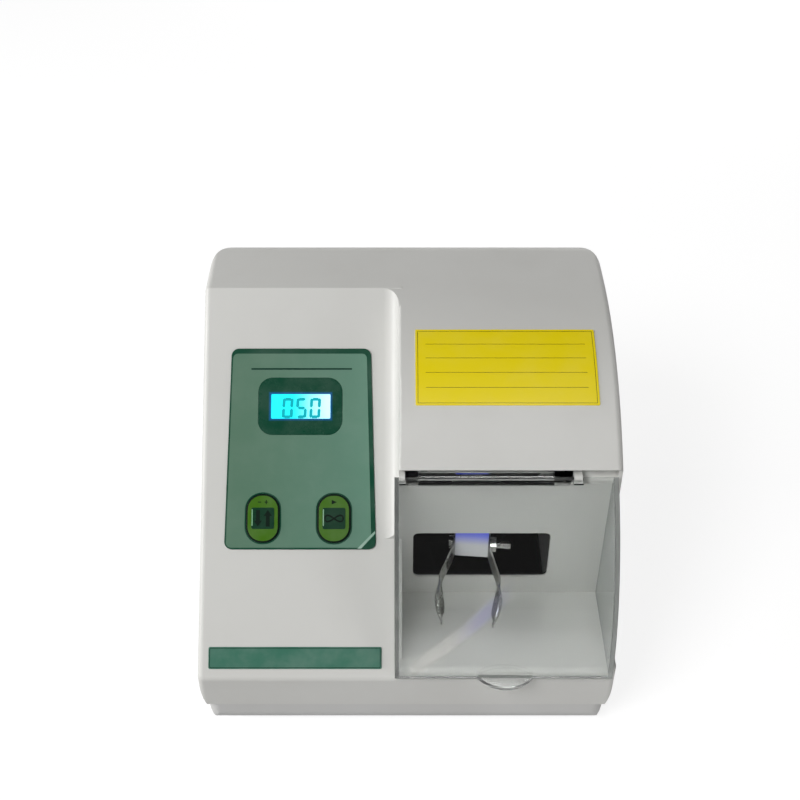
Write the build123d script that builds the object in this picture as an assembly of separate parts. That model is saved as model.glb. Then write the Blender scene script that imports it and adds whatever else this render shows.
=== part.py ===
from build123d import *
import os
from math import atan2, cos, degrees, hypot, radians, sin, sqrt

# Bench-top capsule mixer. Millimetres, +Z up, the front faces -Y.
# The origin is the middle of the footprint, on the surface the feet stand on.

# ---- housing ----
HALF_W = 105.0            # half the housing width
DEPTH = 195.0             # foot of the sloping panel to back wall
LIP_Y = -93.5             # foot of the sloping panel
LIP_OUT = 1.3             # the lip's face stands this far forward of it
LIP_Z = 42.0              # height of the panel's foot
FRONT_Y = LIP_Y - LIP_OUT
ROOF_Z = LIP_Z + 135.5
BACK_Y = LIP_Y + DEPTH
SPLIT_Z = LIP_Z - 21.6    # parting line of shell and pan
PAN_Z = 4.0               # underside of the pan, on top of the feet
WALL = 2.5
SLOPE_RUN = 145.0         # horizontal run of the sloping panel
BACK_TOP_R = 16.0
BACK_CORNER_R = 29.0
EDGE_R = 3.2              # edges of lip, panel, roof and hood
HOOD_SIDE_R = 1.2         # edge of the hood beside the panel
TUCK = 3.1                # how far the shell draws in above the parting line
TUCK_H = 13.6
PAN_HALF_W = 101.8
PAN_INSET = 0.4
PAN_SIDE_R = 13.0         # bottom edges of the pan: left and right, then front and back
PAN_EDGE_R = 9.0
PAN_FRONT_R = 6.0         # upright corners at the pan's front

# ---- hood and chamber ----
HOOD_LEFT = -3.5          # left wall of the hood
CHAMBER_LEFT = -2.0
WALL_Y = LIP_Y + 50.0     # front of the chamber's back wall
FLOOR_Z = LIP_Z + 6.0
HOOD_EDGE_Y = LIP_Y + 48.0
HOOD_R = 160.0
COVE_R = 8.0
FLOOR_NOSE_R = 4.0
WINDOW = (3.7, 73.5, LIP_Z + 18.3, LIP_Z + 50.8)
SLOT = (-0.6, 81.3, LIP_Z + 83.8, LIP_Z + 93.6)

# ---- clear cover ----
COVER_X = (-5.7, 102.5)
COVER_T = 2.2
COVER_R = 125.0
COVER_FOOT = (LIP_Y - 4.6, LIP_Z + 4.0)
CURL_R = 3.5
CURL_GAP = 3.5            # hinge axis to the hood edge, along the surface
CURL_DROP = 5.5           # hinge axis below the hood surface
CURL_X = (5.8, 71.6)
PIN_R = 1.0
PIN_X = (-2.6, 84.6)
EAR_R = 2.4
RUN_FIT = 0.05            # radial clearance of everything that turns
THUMB_X = 49.3
THUMB_W = 29.0
THUMB_OUT = 7.0

# ---- control panel, measured up the slope from the lip ----
FILM_T = 0.8
FILM = ((-92.4, 63.0), (-15.2, 63.0), (-18.0, 166.3), (-90.1, 166.3))
BEZEL = (-54.35, 136.2, 43.3, 29.6, 7.5)
LCD = (-54.15, 136.15, 30.5, 12.7)
KEY_W, KEY_H, KEY_R = 16.6, 24.3, 7.8
KEY_AT = {"set_key": (-72.8, 78.75), "start_key": (-36.6, 78.65)}
KEY_TRAVEL = 0.5
BOARD_DEPTH = 10.5
BOARD_T = 1.6
STRIP = (-55.8, 8.9, 87.0, 10.9)
STRIP_T = 0.4
LABEL_X = (4.6, 94.6)
LABEL_Y = (LIP_Y + 74.3, LIP_Y + 114.5)
LABEL_T = 0.4

# ---- drive ----
AXIS_Y = LIP_Y + 104.0
AXIS_Z = LIP_Z + 34.5
HUB_X = 38.3
TILT = 5.0                # tilt of the wobble journal
CAN_R = 26.0
CAN_T = 1.6
CAN_X = (-72.0, 0.0)
SHAFT_R = 4.0
JOURNAL_R = 7.5
BEARING_R = 14.0
BEARING_W = 7.0
SLEEVE_R = 17.5
SLEEVE_L = 26.0
PLATE_Z = LIP_Z - 3.5     # underside of the motor plate
PLATE_T = 2.5
SPRING_AT = [(x, AXIS_Y + y) for x in (-66.0, -8.0) for y in (-27.0, 27.0)]
SPRING_R = 6.5
WIRE_R = 0.9
STUD_R = 4.2              # studs inside the spring ends
PLATE_X = (-84.0, 50.0)
LOCK_AT = [(x, AXIS_Y) for x in (-66.0, -8.0)]
LOCK_R = 1.65
BUMP_AT = [(x, AXIS_Y + y) for x in (-66.0, -8.0) for y in (-14.0, 14.0)]
BUMP_GAP = 4.5
CLAMP_X = (-58.0, -14.0)
MOTOR_BEARING_R = 11.0
SHAFT_X = (-96.0, 56.0)
BLOCK_L = (37.0, 50.0)    # clip block, measured forward of the motor axis
BLOCK_W = 17.0
BLOCK_Z = (-6.5, 14.0)    # relative to the motor axis
BOLT_L = 47.0
BOLT_Z = 1.5
BOLT_R = 1.9
PRONG_T = 0.9

# ---- underside and rear ----
FLOOR_T = 3.0
FOOT_AT = [(x, y) for x in (-80.0, 80.0) for y in (LIP_Y + 22.0, BACK_Y - 23.0)]
FOOT_R = 9.0
CASE_AT = [(x, y) for x in (-93.0, 93.0) for y in (LIP_Y + 14.0, BACK_Y - 33.5)]
INLET_AT = (-50.0, 52.0)
ROCKER_AT = (-8.0, 52.0)
CASE_BOSS_R = 4.5
CASE_BOSS_H = 22.0

ROCKER_AXIS_Y = BACK_Y - 1.6
ROCKER_TIP = -8.0         # rest tilt of the rocker
POWER_X = (-84.0, 16.0)
POWER_Y = (BACK_Y - 52.0, BACK_Y - 13.0)
POWER_Z = 14.0

PANEL_ANGLE = degrees(atan2(ROOF_Z - LIP_Z, SLOPE_RUN))
PANEL = Plane(
    origin=(0, LIP_Y, LIP_Z),
    x_dir=(1, 0, 0),
    z_dir=(0, -sin(radians(PANEL_ANGLE)), cos(radians(PANEL_ANGLE))),
)
HOOD_C = (LIP_Y + 152.8, ROOF_Z - HOOD_R)


def hood_point(y):
    """Point (y, z) on the hood's outer curve."""
    return (y, HOOD_C[1] + sqrt(HOOD_R**2 - (y - HOOD_C[0]) ** 2))


HOOD_EDGE = hood_point(HOOD_EDGE_Y)
OUT = ((HOOD_EDGE[0] - HOOD_C[0]) / HOOD_R, (HOOD_EDGE[1] - HOOD_C[1]) / HOOD_R)
HINGE = (
    HOOD_EDGE[0] - CURL_DROP * OUT[0] - CURL_GAP * OUT[1],
    HOOD_EDGE[1] - CURL_DROP * OUT[1] + CURL_GAP * OUT[0],
)


def cover_centre():
    """Centre of the cover's curve: through its foot and tangent to the hinge curl."""
    reach = (HINGE[0] - COVER_FOOT[0], HINGE[1] - COVER_FOOT[1])
    span = hypot(*reach)
    along = (COVER_R**2 - (COVER_R - CURL_R) ** 2 + span**2) / (2 * span)
    across = sqrt(COVER_R**2 - along**2)
    unit = (reach[0] / span, reach[1] / span)
    return (
        COVER_FOOT[0] + along * unit[0] + across * unit[1],
        COVER_FOOT[1] + along * unit[1] - across * unit[0],
    )


COVER_C = cover_centre()


# ---- helpers ----
def side_prism(lines, x0, x1):
    """Solid of a side outline in (y, z), between two x positions."""
    face = Plane.YZ.offset(x0) * make_face(lines)
    return extrude(face, x1 - x0, dir=(1, 0, 0))


def box_between(x, y, z):
    """Box from three pairs of limits."""
    size = (x[1] - x[0], y[1] - y[0], z[1] - z[0])
    middle = ((x[0] + x[1]) / 2, (y[0] + y[1]) / 2, (z[0] + z[1]) / 2)
    return Pos(*middle) * Box(*size)


def rod_x(radius, x0, x1, y, z):
    """Cylinder along X."""
    return Pos((x0 + x1) / 2, y, z) * Rot(0, 90, 0) * Cylinder(radius, x1 - x0)


def rod_y(radius, y0, y1, x, z):
    """Cylinder along Y."""
    return Pos(x, (y0 + y1) / 2, z) * Rot(90, 0, 0) * Cylinder(radius, y1 - y0)


def rod_z(radius, z0, z1, x, y):
    """Cylinder along Z."""
    return Pos(x, y, (z0 + z1) / 2) * Cylinder(radius, z1 - z0)


def pan_screw(x, y, z, length, head_r=3.0, head_h=2.2, shank_r=1.4):
    """Screw pointing up, its head underneath with a cross recess; z is under the head."""
    screw = rod_z(head_r, z - head_h, z, x, y) + rod_z(shank_r, z, z + length, x, y)
    for size in ((3.4, 0.8, 1.4), (0.8, 3.4, 1.4)):
        screw -= Pos(x, y, z - head_h + 0.6) * Box(*size)
    return screw


def save(name, *solids):
    """Write one node."""
    shape = solids[0] if len(solids) == 1 else Compound(children=list(solids))
    export_step(shape, f"parts/{name}.step")


# ---- housing ----
def front_lines(inset, low, hooded):
    """Front of a side outline, up to the roof: lip and sloping panel, or the hood's curve."""
    roof = ROOF_Z - inset
    if hooded:
        y0 = WALL_Y + inset if inset else HOOD_EDGE_Y
        crown = HOOD_C[0]
        hood_r = HOOD_R - inset
        y_mid = (y0 + crown) / 2
        z_at, z_mid = (HOOD_C[1] + sqrt(hood_r**2 - (y - crown) ** 2) for y in (y0, y_mid))
        lines = Line((y0, low), (y0, z_at))
        return lines + ThreePointArc((y0, z_at), (y_mid, z_mid), (crown, roof))
    rise = ROOF_Z - LIP_Z
    slope = hypot(SLOPE_RUN, rise)
    y0 = FRONT_Y + inset
    lip = (y0, LIP_Z + ((y0 - LIP_Y) * rise - inset * slope) / SLOPE_RUN)
    crest = (LIP_Y + SLOPE_RUN + inset * (slope - SLOPE_RUN) / rise, roof)
    return Polyline((y0, low), lip, crest)


def housing_side(inset, low, hooded):
    """Side outline of the housing, drawn in by inset: the plain wedge, or the hood."""
    roof, back = ROOF_Z - inset, BACK_Y - inset
    radius = BACK_TOP_R - inset
    mid = radius * (1 - sin(radians(45)))
    turn = BACK_Y - BACK_TOP_R
    front = front_lines(inset, low, hooded)
    arc = ThreePointArc((turn, roof), (back - mid, roof - mid), (back, roof - radius))
    lines = front + Line(front @ 1, (turn, roof)) + arc
    return lines + Polyline((back, roof - radius), (back, low), (front @ 0))


def plan_prism(inset, z0, z1):
    """Plan outline of the housing, drawn in by inset, as a prism."""
    prism = box_between(
        (-HALF_W + inset, HALF_W - inset), (FRONT_Y + inset, BACK_Y - inset), (z0, z1)
    )
    upright = prism.edges().filter_by(Axis.Z).sort_by(Axis.Y)
    prism = fillet(upright[2:], BACK_CORNER_R - inset)
    right = prism.edges().filter_by(Axis.Z).sort_by(Axis.Y)[:2].sort_by(Axis.X)[-1]
    return fillet(right, EDGE_R - inset)


def front_prism(inset):
    """Front outline: sides that draw in above the parting line."""
    half = HALF_W - inset
    low, top = SPLIT_Z - 20, ROOF_Z + 10
    knee = SPLIT_Z + TUCK_H
    waist = half - TUCK
    sides = []
    for s in (1, -1):
        sides += [
            Line((s * waist, low), (s * waist, SPLIT_Z)),
            ThreePointArc(
                (s * waist, SPLIT_Z),
                (s * (half - 0.3 * TUCK), SPLIT_Z + 0.5 * TUCK_H),
                (s * half, knee),
            ),
            Line((s * half, knee), (s * half, top)),
        ]
    ends = [Line((-half, top), (half, top)), Line((-waist, low), (waist, low))]
    face = Plane.XZ.offset(-BACK_Y - 20) * make_face(sides + ends)
    return extrude(face, DEPTH + 60, dir=(0, -1, 0))


def side_edges(block, x):
    """Edges along the top of a block's end face at x."""
    face = block.faces().filter_by(Axis.X).sort_by(lambda f: abs(f.center().X - x))[0]
    return [e for e in face.edges() if abs(e.tangent_at(0.5).Z) < 0.99 and e.center().Z > LIP_Z]


def wedge_block():
    """Outside of the left part: lip, sloping panel and roof, with rounded edges."""
    block = side_prism(housing_side(0, SPLIT_Z, False), -HALF_W, CHAMBER_LEFT)
    lip = block.edges().filter_by(Axis.X).sort_by(Axis.Y)[:2].sort_by(Axis.Z)[-1]
    corner = block.edges().filter_by(Axis.Z).sort_by(Axis.Y)[:2].sort_by(Axis.X)[0]
    return fillet([lip, corner, *side_edges(block, -HALF_W)], EDGE_R)


def hood_block():
    """Outside of the hood, with rounded edges and cut back below the edge it overhangs."""
    block = side_prism(housing_side(0, SPLIT_Z, True), HOOD_LEFT, HALF_W)
    block = fillet(side_edges(block, HALF_W), EDGE_R)
    block = fillet(side_edges(block, HOOD_LEFT), HOOD_SIDE_R)
    inner = (HOOD_EDGE[0] - WALL * OUT[0], HOOD_EDGE[1] - WALL * OUT[1])
    low, front = SPLIT_Z - 1, HOOD_EDGE_Y - 1
    under = Polyline(
        HOOD_EDGE, inner, (WALL_Y, inner[1]), (WALL_Y, low), (front, low), (front, HOOD_EDGE[1]),
        close=True,
    )
    return block - side_prism(under, HOOD_LEFT - 1, HALF_W + 1)


def chamber_floor():
    """Block under the chamber, with a rounded nose at the lip."""
    r = FLOOR_NOSE_R
    bend = r * (1 - sin(radians(45)))
    start, end = (FRONT_Y, FLOOR_Z - r), (FRONT_Y + r, FLOOR_Z)
    lines = ThreePointArc(start, (FRONT_Y + bend, FLOOR_Z - bend), end)
    lines += Polyline(
        end, (WALL_Y + 1, FLOOR_Z), (WALL_Y + 1, SPLIT_Z), (FRONT_Y, SPLIT_Z), start
    )
    return side_prism(lines, CHAMBER_LEFT - 3, HALF_W)


def housing_body():
    """Outside of the housing as one solid."""
    body = wedge_block() + hood_block() + chamber_floor() + cove()
    return body & plan_prism(0, SPLIT_Z - 5, ROOF_Z + 5) & front_prism(0)


def housing_hollow():
    """Inside of the housing, open below."""
    low = SPLIT_Z - 10
    hollow = side_prism(housing_side(WALL, low, False), -HALF_W, CHAMBER_LEFT - WALL)
    hollow += side_prism(housing_side(WALL, low, True), HOOD_LEFT + WALL, HALF_W)
    rear = side_prism(housing_side(WALL, low, False), -20, HOOD_LEFT + 2 * WALL)
    hollow += rear & box_between((-20, 10), (WALL_Y + WALL, BACK_Y), (low, ROOF_Z))
    hollow += box_between(
        (CHAMBER_LEFT - WALL - 1, HALF_W), (FRONT_Y + WALL, WALL_Y + WALL + 1), (low, FLOOR_Z - WALL)
    )
    return hollow & plan_prism(WALL, low - 5, ROOF_Z + 5) & front_prism(WALL)


def cove():
    """Hollow fillet between the sloping panel and the hood's left wall."""
    r = COVE_R
    bend = r * (1 - sin(radians(45)))
    left, right = HOOD_LEFT - r, HOOD_LEFT + 1
    lines = Polyline((left, 0), (left, -1), (right, -1), (right, r), (HOOD_LEFT, r))
    lines += ThreePointArc((HOOD_LEFT, r), (HOOD_LEFT - bend, bend), (left, 0))
    section = Plane(PANEL.origin, x_dir=(1, 0, 0), z_dir=-PANEL.y_dir) * make_face(lines)
    strip = extrude(section, 230, dir=PANEL.y_dir)
    strip &= box_between((left - 1, right + 1), (WALL_Y, BACK_Y), (LIP_Z, ROOF_Z))
    return strip & side_prism(housing_side(0, LIP_Z, True), left - 1, right + 1)


def on_panel(x, t, depth=0.0):
    """Place on the sloping panel: x across, t up the slope, depth above its surface."""
    return PANEL * Pos(x, t, depth)


def key_outline(grow=0.0):
    """Oval of a key."""
    return RectangleRounded(KEY_W + 2 * grow, KEY_H + 2 * grow, KEY_R + grow)


def upper_shell():
    """One-piece moulding: wedge, hood, chamber and panel."""
    shell = housing_body() - housing_hollow()
    x0, x1, z0, z1 = WINDOW
    window = box_between((x0, x1), (WALL_Y - 5, WALL_Y + 10), (z0, z1))
    shell -= fillet(window.edges().filter_by(Axis.Y), 3.0)
    x0, x1, z0, z1 = SLOT
    slot = box_between((x0, x1), (WALL_Y - 0.2, WALL_Y + 10), (z0, z1))
    shell -= fillet(slot.edges().filter_by(Axis.Y).sort_by(Axis.Z)[:2], 2.0)
    shell -= panel_cuts()
    shell -= rear_cuts()
    for x, y in CASE_AT:
        post = rod_z(CASE_BOSS_R, SPLIT_Z, SPLIT_Z + CASE_BOSS_H, x, y)
        web_x = sorted((x, (HALF_W - 2.0) * (1 if x > 0 else -1)))
        post += box_between(web_x, (y - 1, y + 1), (SPLIT_Z + 6, SPLIT_Z + CASE_BOSS_H))
        shell += post - rod_z(1.3, SPLIT_Z - 1, SPLIT_Z + CASE_BOSS_H - 5, x, y)
    for x, t in board_posts():
        shell += on_panel(x, t, -(1 + BOARD_DEPTH) / 2) * Cylinder(3.0, BOARD_DEPTH - 1)
        shell -= on_panel(x, t, -BOARD_DEPTH) * Cylinder(1.0, 2 * (BOARD_DEPTH - 3.5))
    shell -= rod_x(CURL_R + 1.1, HOOD_LEFT, COVER_X[1] + 0.5, *HINGE)
    for x0, x1 in hinge_ears():
        shell += rod_x(EAR_R, x0, x1, *HINGE)
        shell += box_between((x0, x1), (HINGE[0], WALL_Y + WALL), (HINGE[1] - 6, HINGE[1] + EAR_R))
    shell -= rod_x(PIN_R, *PIN_X, *HINGE)
    return shell


def hinge_ears():
    """X spans of the two ears, one at each end of the slot, that hold the hinge pin."""
    return ((SLOT[0] - 2.4, SLOT[0]), (SLOT[1], SLOT[1] + 4.0))


def board_posts():
    """Screw posts of the control board, on the panel."""
    return [(x, t) for x in (-88.0, -20.0) for t in (60.0, 160.0)]


def panel_cuts():
    """Key holes and display window through the panel."""
    x, t, w, h = LCD
    cuts = [on_panel(x, t) * Box(w + 3, h + 3, 20)]
    for x, t in KEY_AT.values():
        cuts.append(on_panel(x, t) * extrude(Rectangle(9.0, 9.0), 10, both=True))
    return cuts


def rear_cuts():
    """Power inlet and switch openings, and the row of cooling slots in the back wall."""
    x, z = INLET_AT
    cuts = [box_between((x - 13.9, x + 13.9), (BACK_Y - 10, BACK_Y + 5), (z - 15.5, z + 15.5))]
    cuts += [rod_y(1.6, BACK_Y - 10, BACK_Y + 5, x + s * 20, z) for s in (-1, 1)]
    x, z = ROCKER_AT
    cuts.append(box_between((x - 9.6, x + 9.6), (BACK_Y - 10, BACK_Y + 5), (z - 6.5, z + 6.5)))
    for i in range(9):
        x = 24.0 + 6.5 * i
        slot = box_between((x - 1.5, x + 1.5), (BACK_Y - 6, BACK_Y + 5), (38.0, 84.0))
        cuts.append(fillet(slot.edges().filter_by(Axis.Y), 1.4))
    return cuts


def pan_form(inset, low, top):
    """Body of the pan, drawn in by inset and rounded below, between two heights."""
    half = PAN_HALF_W - inset
    y0, y1 = FRONT_Y + PAN_INSET + inset, BACK_Y - PAN_INSET - inset
    block = box_between((-half, half), (y0, y1), (low, top))
    sides = block.edges().filter_by(Axis.Y).sort_by(Axis.Z)[:2]
    ends = block.edges().filter_by(Axis.X).sort_by(Axis.Z)[:2]
    plan = round_uprights(block, BACK_CORNER_R - PAN_INSET - inset, PAN_FRONT_R - inset)
    plan = fillet(plan.faces().sort_by(Axis.Z)[0].edges(), PAN_FRONT_R - inset - 0.5)
    return plan & fillet(sides, PAN_SIDE_R - inset) & fillet(ends, PAN_EDGE_R - inset)


def base_pan():
    """Lower pan: rounded below, open above, with posts, spring seats, vents and foot recesses."""
    outer = pan_form(0, PAN_Z, SPLIT_Z)
    pan = outer - pan_form(WALL, PAN_Z + FLOOR_T, SPLIT_Z + 5)
    floor = PAN_Z + FLOOR_T
    for x, y in CASE_AT:
        pan += rod_z(CASE_BOSS_R, PAN_Z + 3, SPLIT_Z - 0.1, x, y) & outer
        pan -= rod_z(1.7, PAN_Z - 1, SPLIT_Z + 1, x, y)
        pan -= rod_z(3.2, PAN_Z - 1, PAN_Z + 8, x, y)
    for x, y in FOOT_AT:
        pan += rod_z(5.0, floor - 1, floor + 5, x, y)
        pan -= rod_z(1.3, PAN_Z - 1, floor + 4, x, y)
        pan -= rod_z(FOOT_R + 0.3, PAN_Z - 1, PAN_Z + 1.0, x, y)
    for x, y in SPRING_AT:
        pan += rod_z(STUD_R, floor - 1, floor + 5, x, y)
    for x, y in LOCK_AT:
        pan += rod_z(6.0, floor - 1, floor + 2, x, y)
        pan -= rod_z(3.0, PAN_Z - 1, floor + 3, x, y)
    for x in (-38.0, 62.0):
        for i in range(7):
            y = AXIS_Y - 30 + 10 * i
            pan -= box_between((x - 16, x + 16), (y - 1.5, y + 1.5), (PAN_Z - 1, floor + 1))
    return pan


def round_uprights(block, back_r, front_r):
    """Round the upright edges of a block, the back ones and the front ones."""
    block = fillet(block.edges().filter_by(Axis.Z).sort_by(Axis.Y)[2:], back_r)
    return fillet(block.edges().filter_by(Axis.Z).sort_by(Axis.Y)[:2], front_r)


def rubber_feet():
    """Four feet, each with a screw recess."""
    feet = []
    for x, y in FOOT_AT:
        foot = rod_z(FOOT_R, 0, PAN_Z + 1.0, x, y)
        foot = chamfer(foot.faces().sort_by(Axis.Z)[0].edges(), 1.0)
        foot -= rod_z(3.4, -1, 2.4, x, y)
        feet.append(foot - rod_z(1.5, 0, PAN_Z + 2, x, y))
    return feet


# ---- clear cover ----
def cover_curve(radius, z):
    """Point (y, z) of the cover's curve."""
    return (COVER_C[0] - sqrt(radius**2 - (z - COVER_C[1]) ** 2), z)


def cover_head(radius):
    """Top end of the cover's curve, straight out from the hinge axis."""
    reach = COVER_R - CURL_R
    unit = ((HINGE[0] - COVER_C[0]) / reach, (HINGE[1] - COVER_C[1]) / reach)
    return (COVER_C[0] + radius * unit[0], COVER_C[1] + radius * unit[1])


def clear_cover():
    """Curved front, two side walls, thumb tab and hinge curl, all one moulding."""
    inner_r = COVER_R - COVER_T
    z0 = COVER_FOOT[1]
    z_mid = (z0 + HINGE[1]) / 2 + 8
    outer_low, inner_low = cover_curve(COVER_R, z0), cover_curve(inner_r, z0)
    outer_top, inner_top = cover_head(COVER_R), cover_head(inner_r)
    band = ThreePointArc(outer_low, cover_curve(COVER_R, z_mid), outer_top)
    band += Line(outer_top, inner_top)
    band += ThreePointArc(inner_top, cover_curve(inner_r, z_mid), inner_low)
    band += Line(inner_low, outer_low)
    cover = side_prism(band, *COVER_X)
    bulge = ThreePointArc(outer_top, cover_curve(COVER_R - 0.6, z_mid), outer_low)
    right = bulge + Polyline(
        outer_low, (LIP_Y - 2.6, z0), (LIP_Y - 2.6, FLOOR_Z + 0.4), (WALL_Y - 0.6, FLOOR_Z + 0.4),
        (WALL_Y - 0.6, HINGE[1] - 3), outer_top
    )
    cover += side_prism(right, COVER_X[1] - COVER_T, COVER_X[1])
    rise = (ROOF_Z - LIP_Z) / SLOPE_RUN
    rest_y = LIP_Y - 2.6
    left = bulge + Polyline(
        outer_low, (rest_y, z0), (rest_y, LIP_Z + rise * (rest_y - LIP_Y) + 6.0),
        (WALL_Y - 0.6, LIP_Z + rise * (WALL_Y - 0.6 - LIP_Y) + 0.7), (WALL_Y - 0.6, HINGE[1] - 3),
        outer_top,
    )
    cover += side_prism(left, COVER_X[0], COVER_X[0] + COVER_T)
    cover += thumb_tab()
    for x0, x1 in hinge_ears():
        cover -= rod_x(CURL_R + 0.3, x0 - 0.4, x1 + 0.4, *HINGE)
    cover += rod_x(CURL_R, *CURL_X, *HINGE)
    return cover - rod_x(PIN_R + RUN_FIT, CURL_X[0] - 1, CURL_X[1] + 1, *HINGE)


def thumb_tab():
    """Crescent lug at the foot of the cover."""
    z0 = COVER_FOOT[1]
    y0 = COVER_FOOT[0] + 1.0
    half = THUMB_W / 2
    lines = ThreePointArc((THUMB_X - half, y0), (THUMB_X, y0 - THUMB_OUT - 1), (THUMB_X + half, y0))
    lines += Line((THUMB_X - half, y0), (THUMB_X + half, y0))
    return extrude(Plane.XY.offset(z0) * make_face(lines), 2.4, dir=(0, 0, 1))


# ---- control panel ----
def panel_slab(outline, bottom, top):
    """Slab on the panel from an outline in (x, t), between two depths."""
    return PANEL * Pos(0, 0, bottom) * extrude(outline, top - bottom)


def keypad_film():
    """Printed film of the keypad, with openings for the display and the keys."""
    outline = make_face(Polyline(*FILM, close=True))
    outline = fillet(outline.vertices(), 4.0)
    x, t, w, h, r = BEZEL
    outline -= Pos(x, t) * RectangleRounded(w, h, r)
    for x, t in KEY_AT.values():
        outline -= Pos(x, t) * key_outline(0.3)
    return panel_slab(outline, 0, FILM_T)


def display_bezel():
    """Dark frame round the display window."""
    x, t, w, h, r = BEZEL
    outline = Pos(x, t) * RectangleRounded(w, h, r)
    x, t, w, h = LCD
    outline -= Pos(x, t) * RectangleRounded(w, h, 1.0)
    return panel_slab(outline, 0, FILM_T)


def display_lens():
    """Clear window in the bezel."""
    x, t, w, h = LCD
    return panel_slab(Pos(x, t) * RectangleRounded(w, h, 1.0), 0.2, FILM_T)


def display_module():
    """Backlit display, which stands on the control board behind the window."""
    x, t, w, h = LCD
    face = panel_slab(Pos(x, t) * Rectangle(w + 2, h + 2), -BOARD_DEPTH + 3, -0.3)
    return face + panel_slab(Pos(x, t) * Rectangle(w + 10, h + 12), -BOARD_DEPTH, -WALL - 0.8)


def key(name):
    """Oval key pad with a stem down to its switch."""
    x, t = KEY_AT[name]
    pad = panel_slab(Pos(x, t) * key_outline(), KEY_TRAVEL + 0.1, FILM_T + 0.8)
    pad += panel_slab(Pos(x, t) * RectangleRounded(12.0, 11.0, 1.0), FILM_T, FILM_T + 1.1)
    return pad + panel_slab(Pos(x, t) * Rectangle(6.0, 6.0), -BOARD_DEPTH + 5.6, FILM_T)


def control_board():
    """Circuit board behind the panel."""
    outline = Pos(-54.0, 110.0) * RectangleRounded(76.0, 108.0, 3.0)
    for x, t in board_posts():
        outline -= Pos(x, t) * Circle(1.6)
    return panel_slab(outline, -BOARD_DEPTH - BOARD_T, -BOARD_DEPTH)


def key_switches():
    """Push switch under each key."""
    parts = []
    for x, t in KEY_AT.values():
        base = panel_slab(Pos(x, t) * RectangleRounded(6.2, 6.2, 0.6), -BOARD_DEPTH, -BOARD_DEPTH + 3.4)
        parts.append(base + panel_slab(Pos(x, t) * Circle(1.7), -BOARD_DEPTH + 3, -BOARD_DEPTH + 5.0))
    return parts


def board_parts():
    """Controller chip, crystal, capacitors and plug on the back of the control board."""
    under = -BOARD_DEPTH - BOARD_T
    parts = [
        panel_slab(Pos(-54.0, 118.0) * Rectangle(10.0, 26.0), under - 3.5, under),
        panel_slab(Pos(-34.0, 100.0) * Rectangle(11.0, 4.6), under - 3.6, under),
        panel_slab(Pos(-84.0, 142.0) * Rectangle(8.0, 22.0), under - 8.0, under),
    ]
    for x in (-62.0, -52.0, -42.0):
        parts.append(panel_slab(Pos(x, 152.0) * Circle(3.1), under - 9.0, under))
    return parts


def board_screws():
    """Screws of the control board."""
    screws = []
    under = -BOARD_DEPTH - BOARD_T
    for x, t in board_posts():
        head = panel_slab(Pos(x, t) * Circle(2.6), under - 1.8, under)
        head -= panel_slab(Pos(x, t) * Rectangle(3.2, 0.7), under - 2, under - 0.9)
        head -= panel_slab(Pos(x, t) * Rectangle(0.7, 3.2), under - 2, under - 0.9)
        screws.append(head + panel_slab(Pos(x, t) * Circle(1.0), under, -4.5))
    return screws


def trim_strip():
    """Narrow strip at the foot of the panel."""
    x, t, w, h = STRIP
    return panel_slab(Pos(x, t) * RectangleRounded(w, h, 0.8), 0, STRIP_T)


def hood_label():
    """Write-on label that follows the hood's curve."""
    y0, y1 = LABEL_Y
    y_mid = (y0 + y1) / 2
    base = [hood_point(y) for y in (y0, y_mid, y1)]
    grow = 1 + LABEL_T / HOOD_R
    outer = [(HOOD_C[0] + (y - HOOD_C[0]) * grow, HOOD_C[1] + (z - HOOD_C[1]) * grow) for y, z in base]
    lines = ThreePointArc(*base) + Line(base[2], outer[2])
    lines += ThreePointArc(*reversed(outer)) + Line(outer[0], base[0])
    return side_prism(lines, *LABEL_X)


# ---- rear and power ----
def power_inlet():
    """Three-pin appliance inlet with a fuse drawer bay above it."""
    x, z = INLET_AT
    body = box_between((x - 25, x + 25), (BACK_Y, BACK_Y + 2), (z - 17, z + 17))
    body = fillet(body.edges().filter_by(Axis.Y), 3.0)
    body += box_between((x - 13.6, x + 13.6), (BACK_Y - 28, BACK_Y + 1), (z - 15.2, z + 15.2))
    mouth = box_between((x - 12, x + 12), (BACK_Y - 19, BACK_Y + 3), (z - 13, z + 3))
    body -= chamfer(mouth.edges().filter_by(Axis.Y).sort_by(Axis.Z)[:2], 4.0)
    body -= box_between((x - 11, x + 11), (BACK_Y - 22, BACK_Y + 3), (z + 5.5, z + 13.5))
    return body - [rod_y(1.7, BACK_Y - 1, BACK_Y + 3, x + s * 20, z) for s in (-1, 1)]


def inlet_pins():
    """Contact pins of the inlet, with their tags behind."""
    x, z = INLET_AT
    pins = []
    for dx, dz in ((-7.0, -7.0), (0.0, -3.0), (7.0, -7.0)):
        pins.append(
            box_between(
                (x + dx - 1, x + dx + 1), (BACK_Y - 36, BACK_Y - 3), (z + dz - 2, z + dz + 2)
            )
        )
    return pins


def fuse_drawer():
    """Drawer that holds the fuse, with a grip notch."""
    x, z = INLET_AT
    drawer = box_between((x - 10.9, x + 10.9), (BACK_Y - 21, BACK_Y + 2), (z + 5.6, z + 13.4))
    drawer -= box_between((x - 4, x + 4), (BACK_Y + 0.8, BACK_Y + 3), (z + 5, z + 7.4))
    return drawer - box_between((x - 9.5, x + 9.5), (BACK_Y - 19, BACK_Y - 3), (z + 7.5, z + 14))


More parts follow.
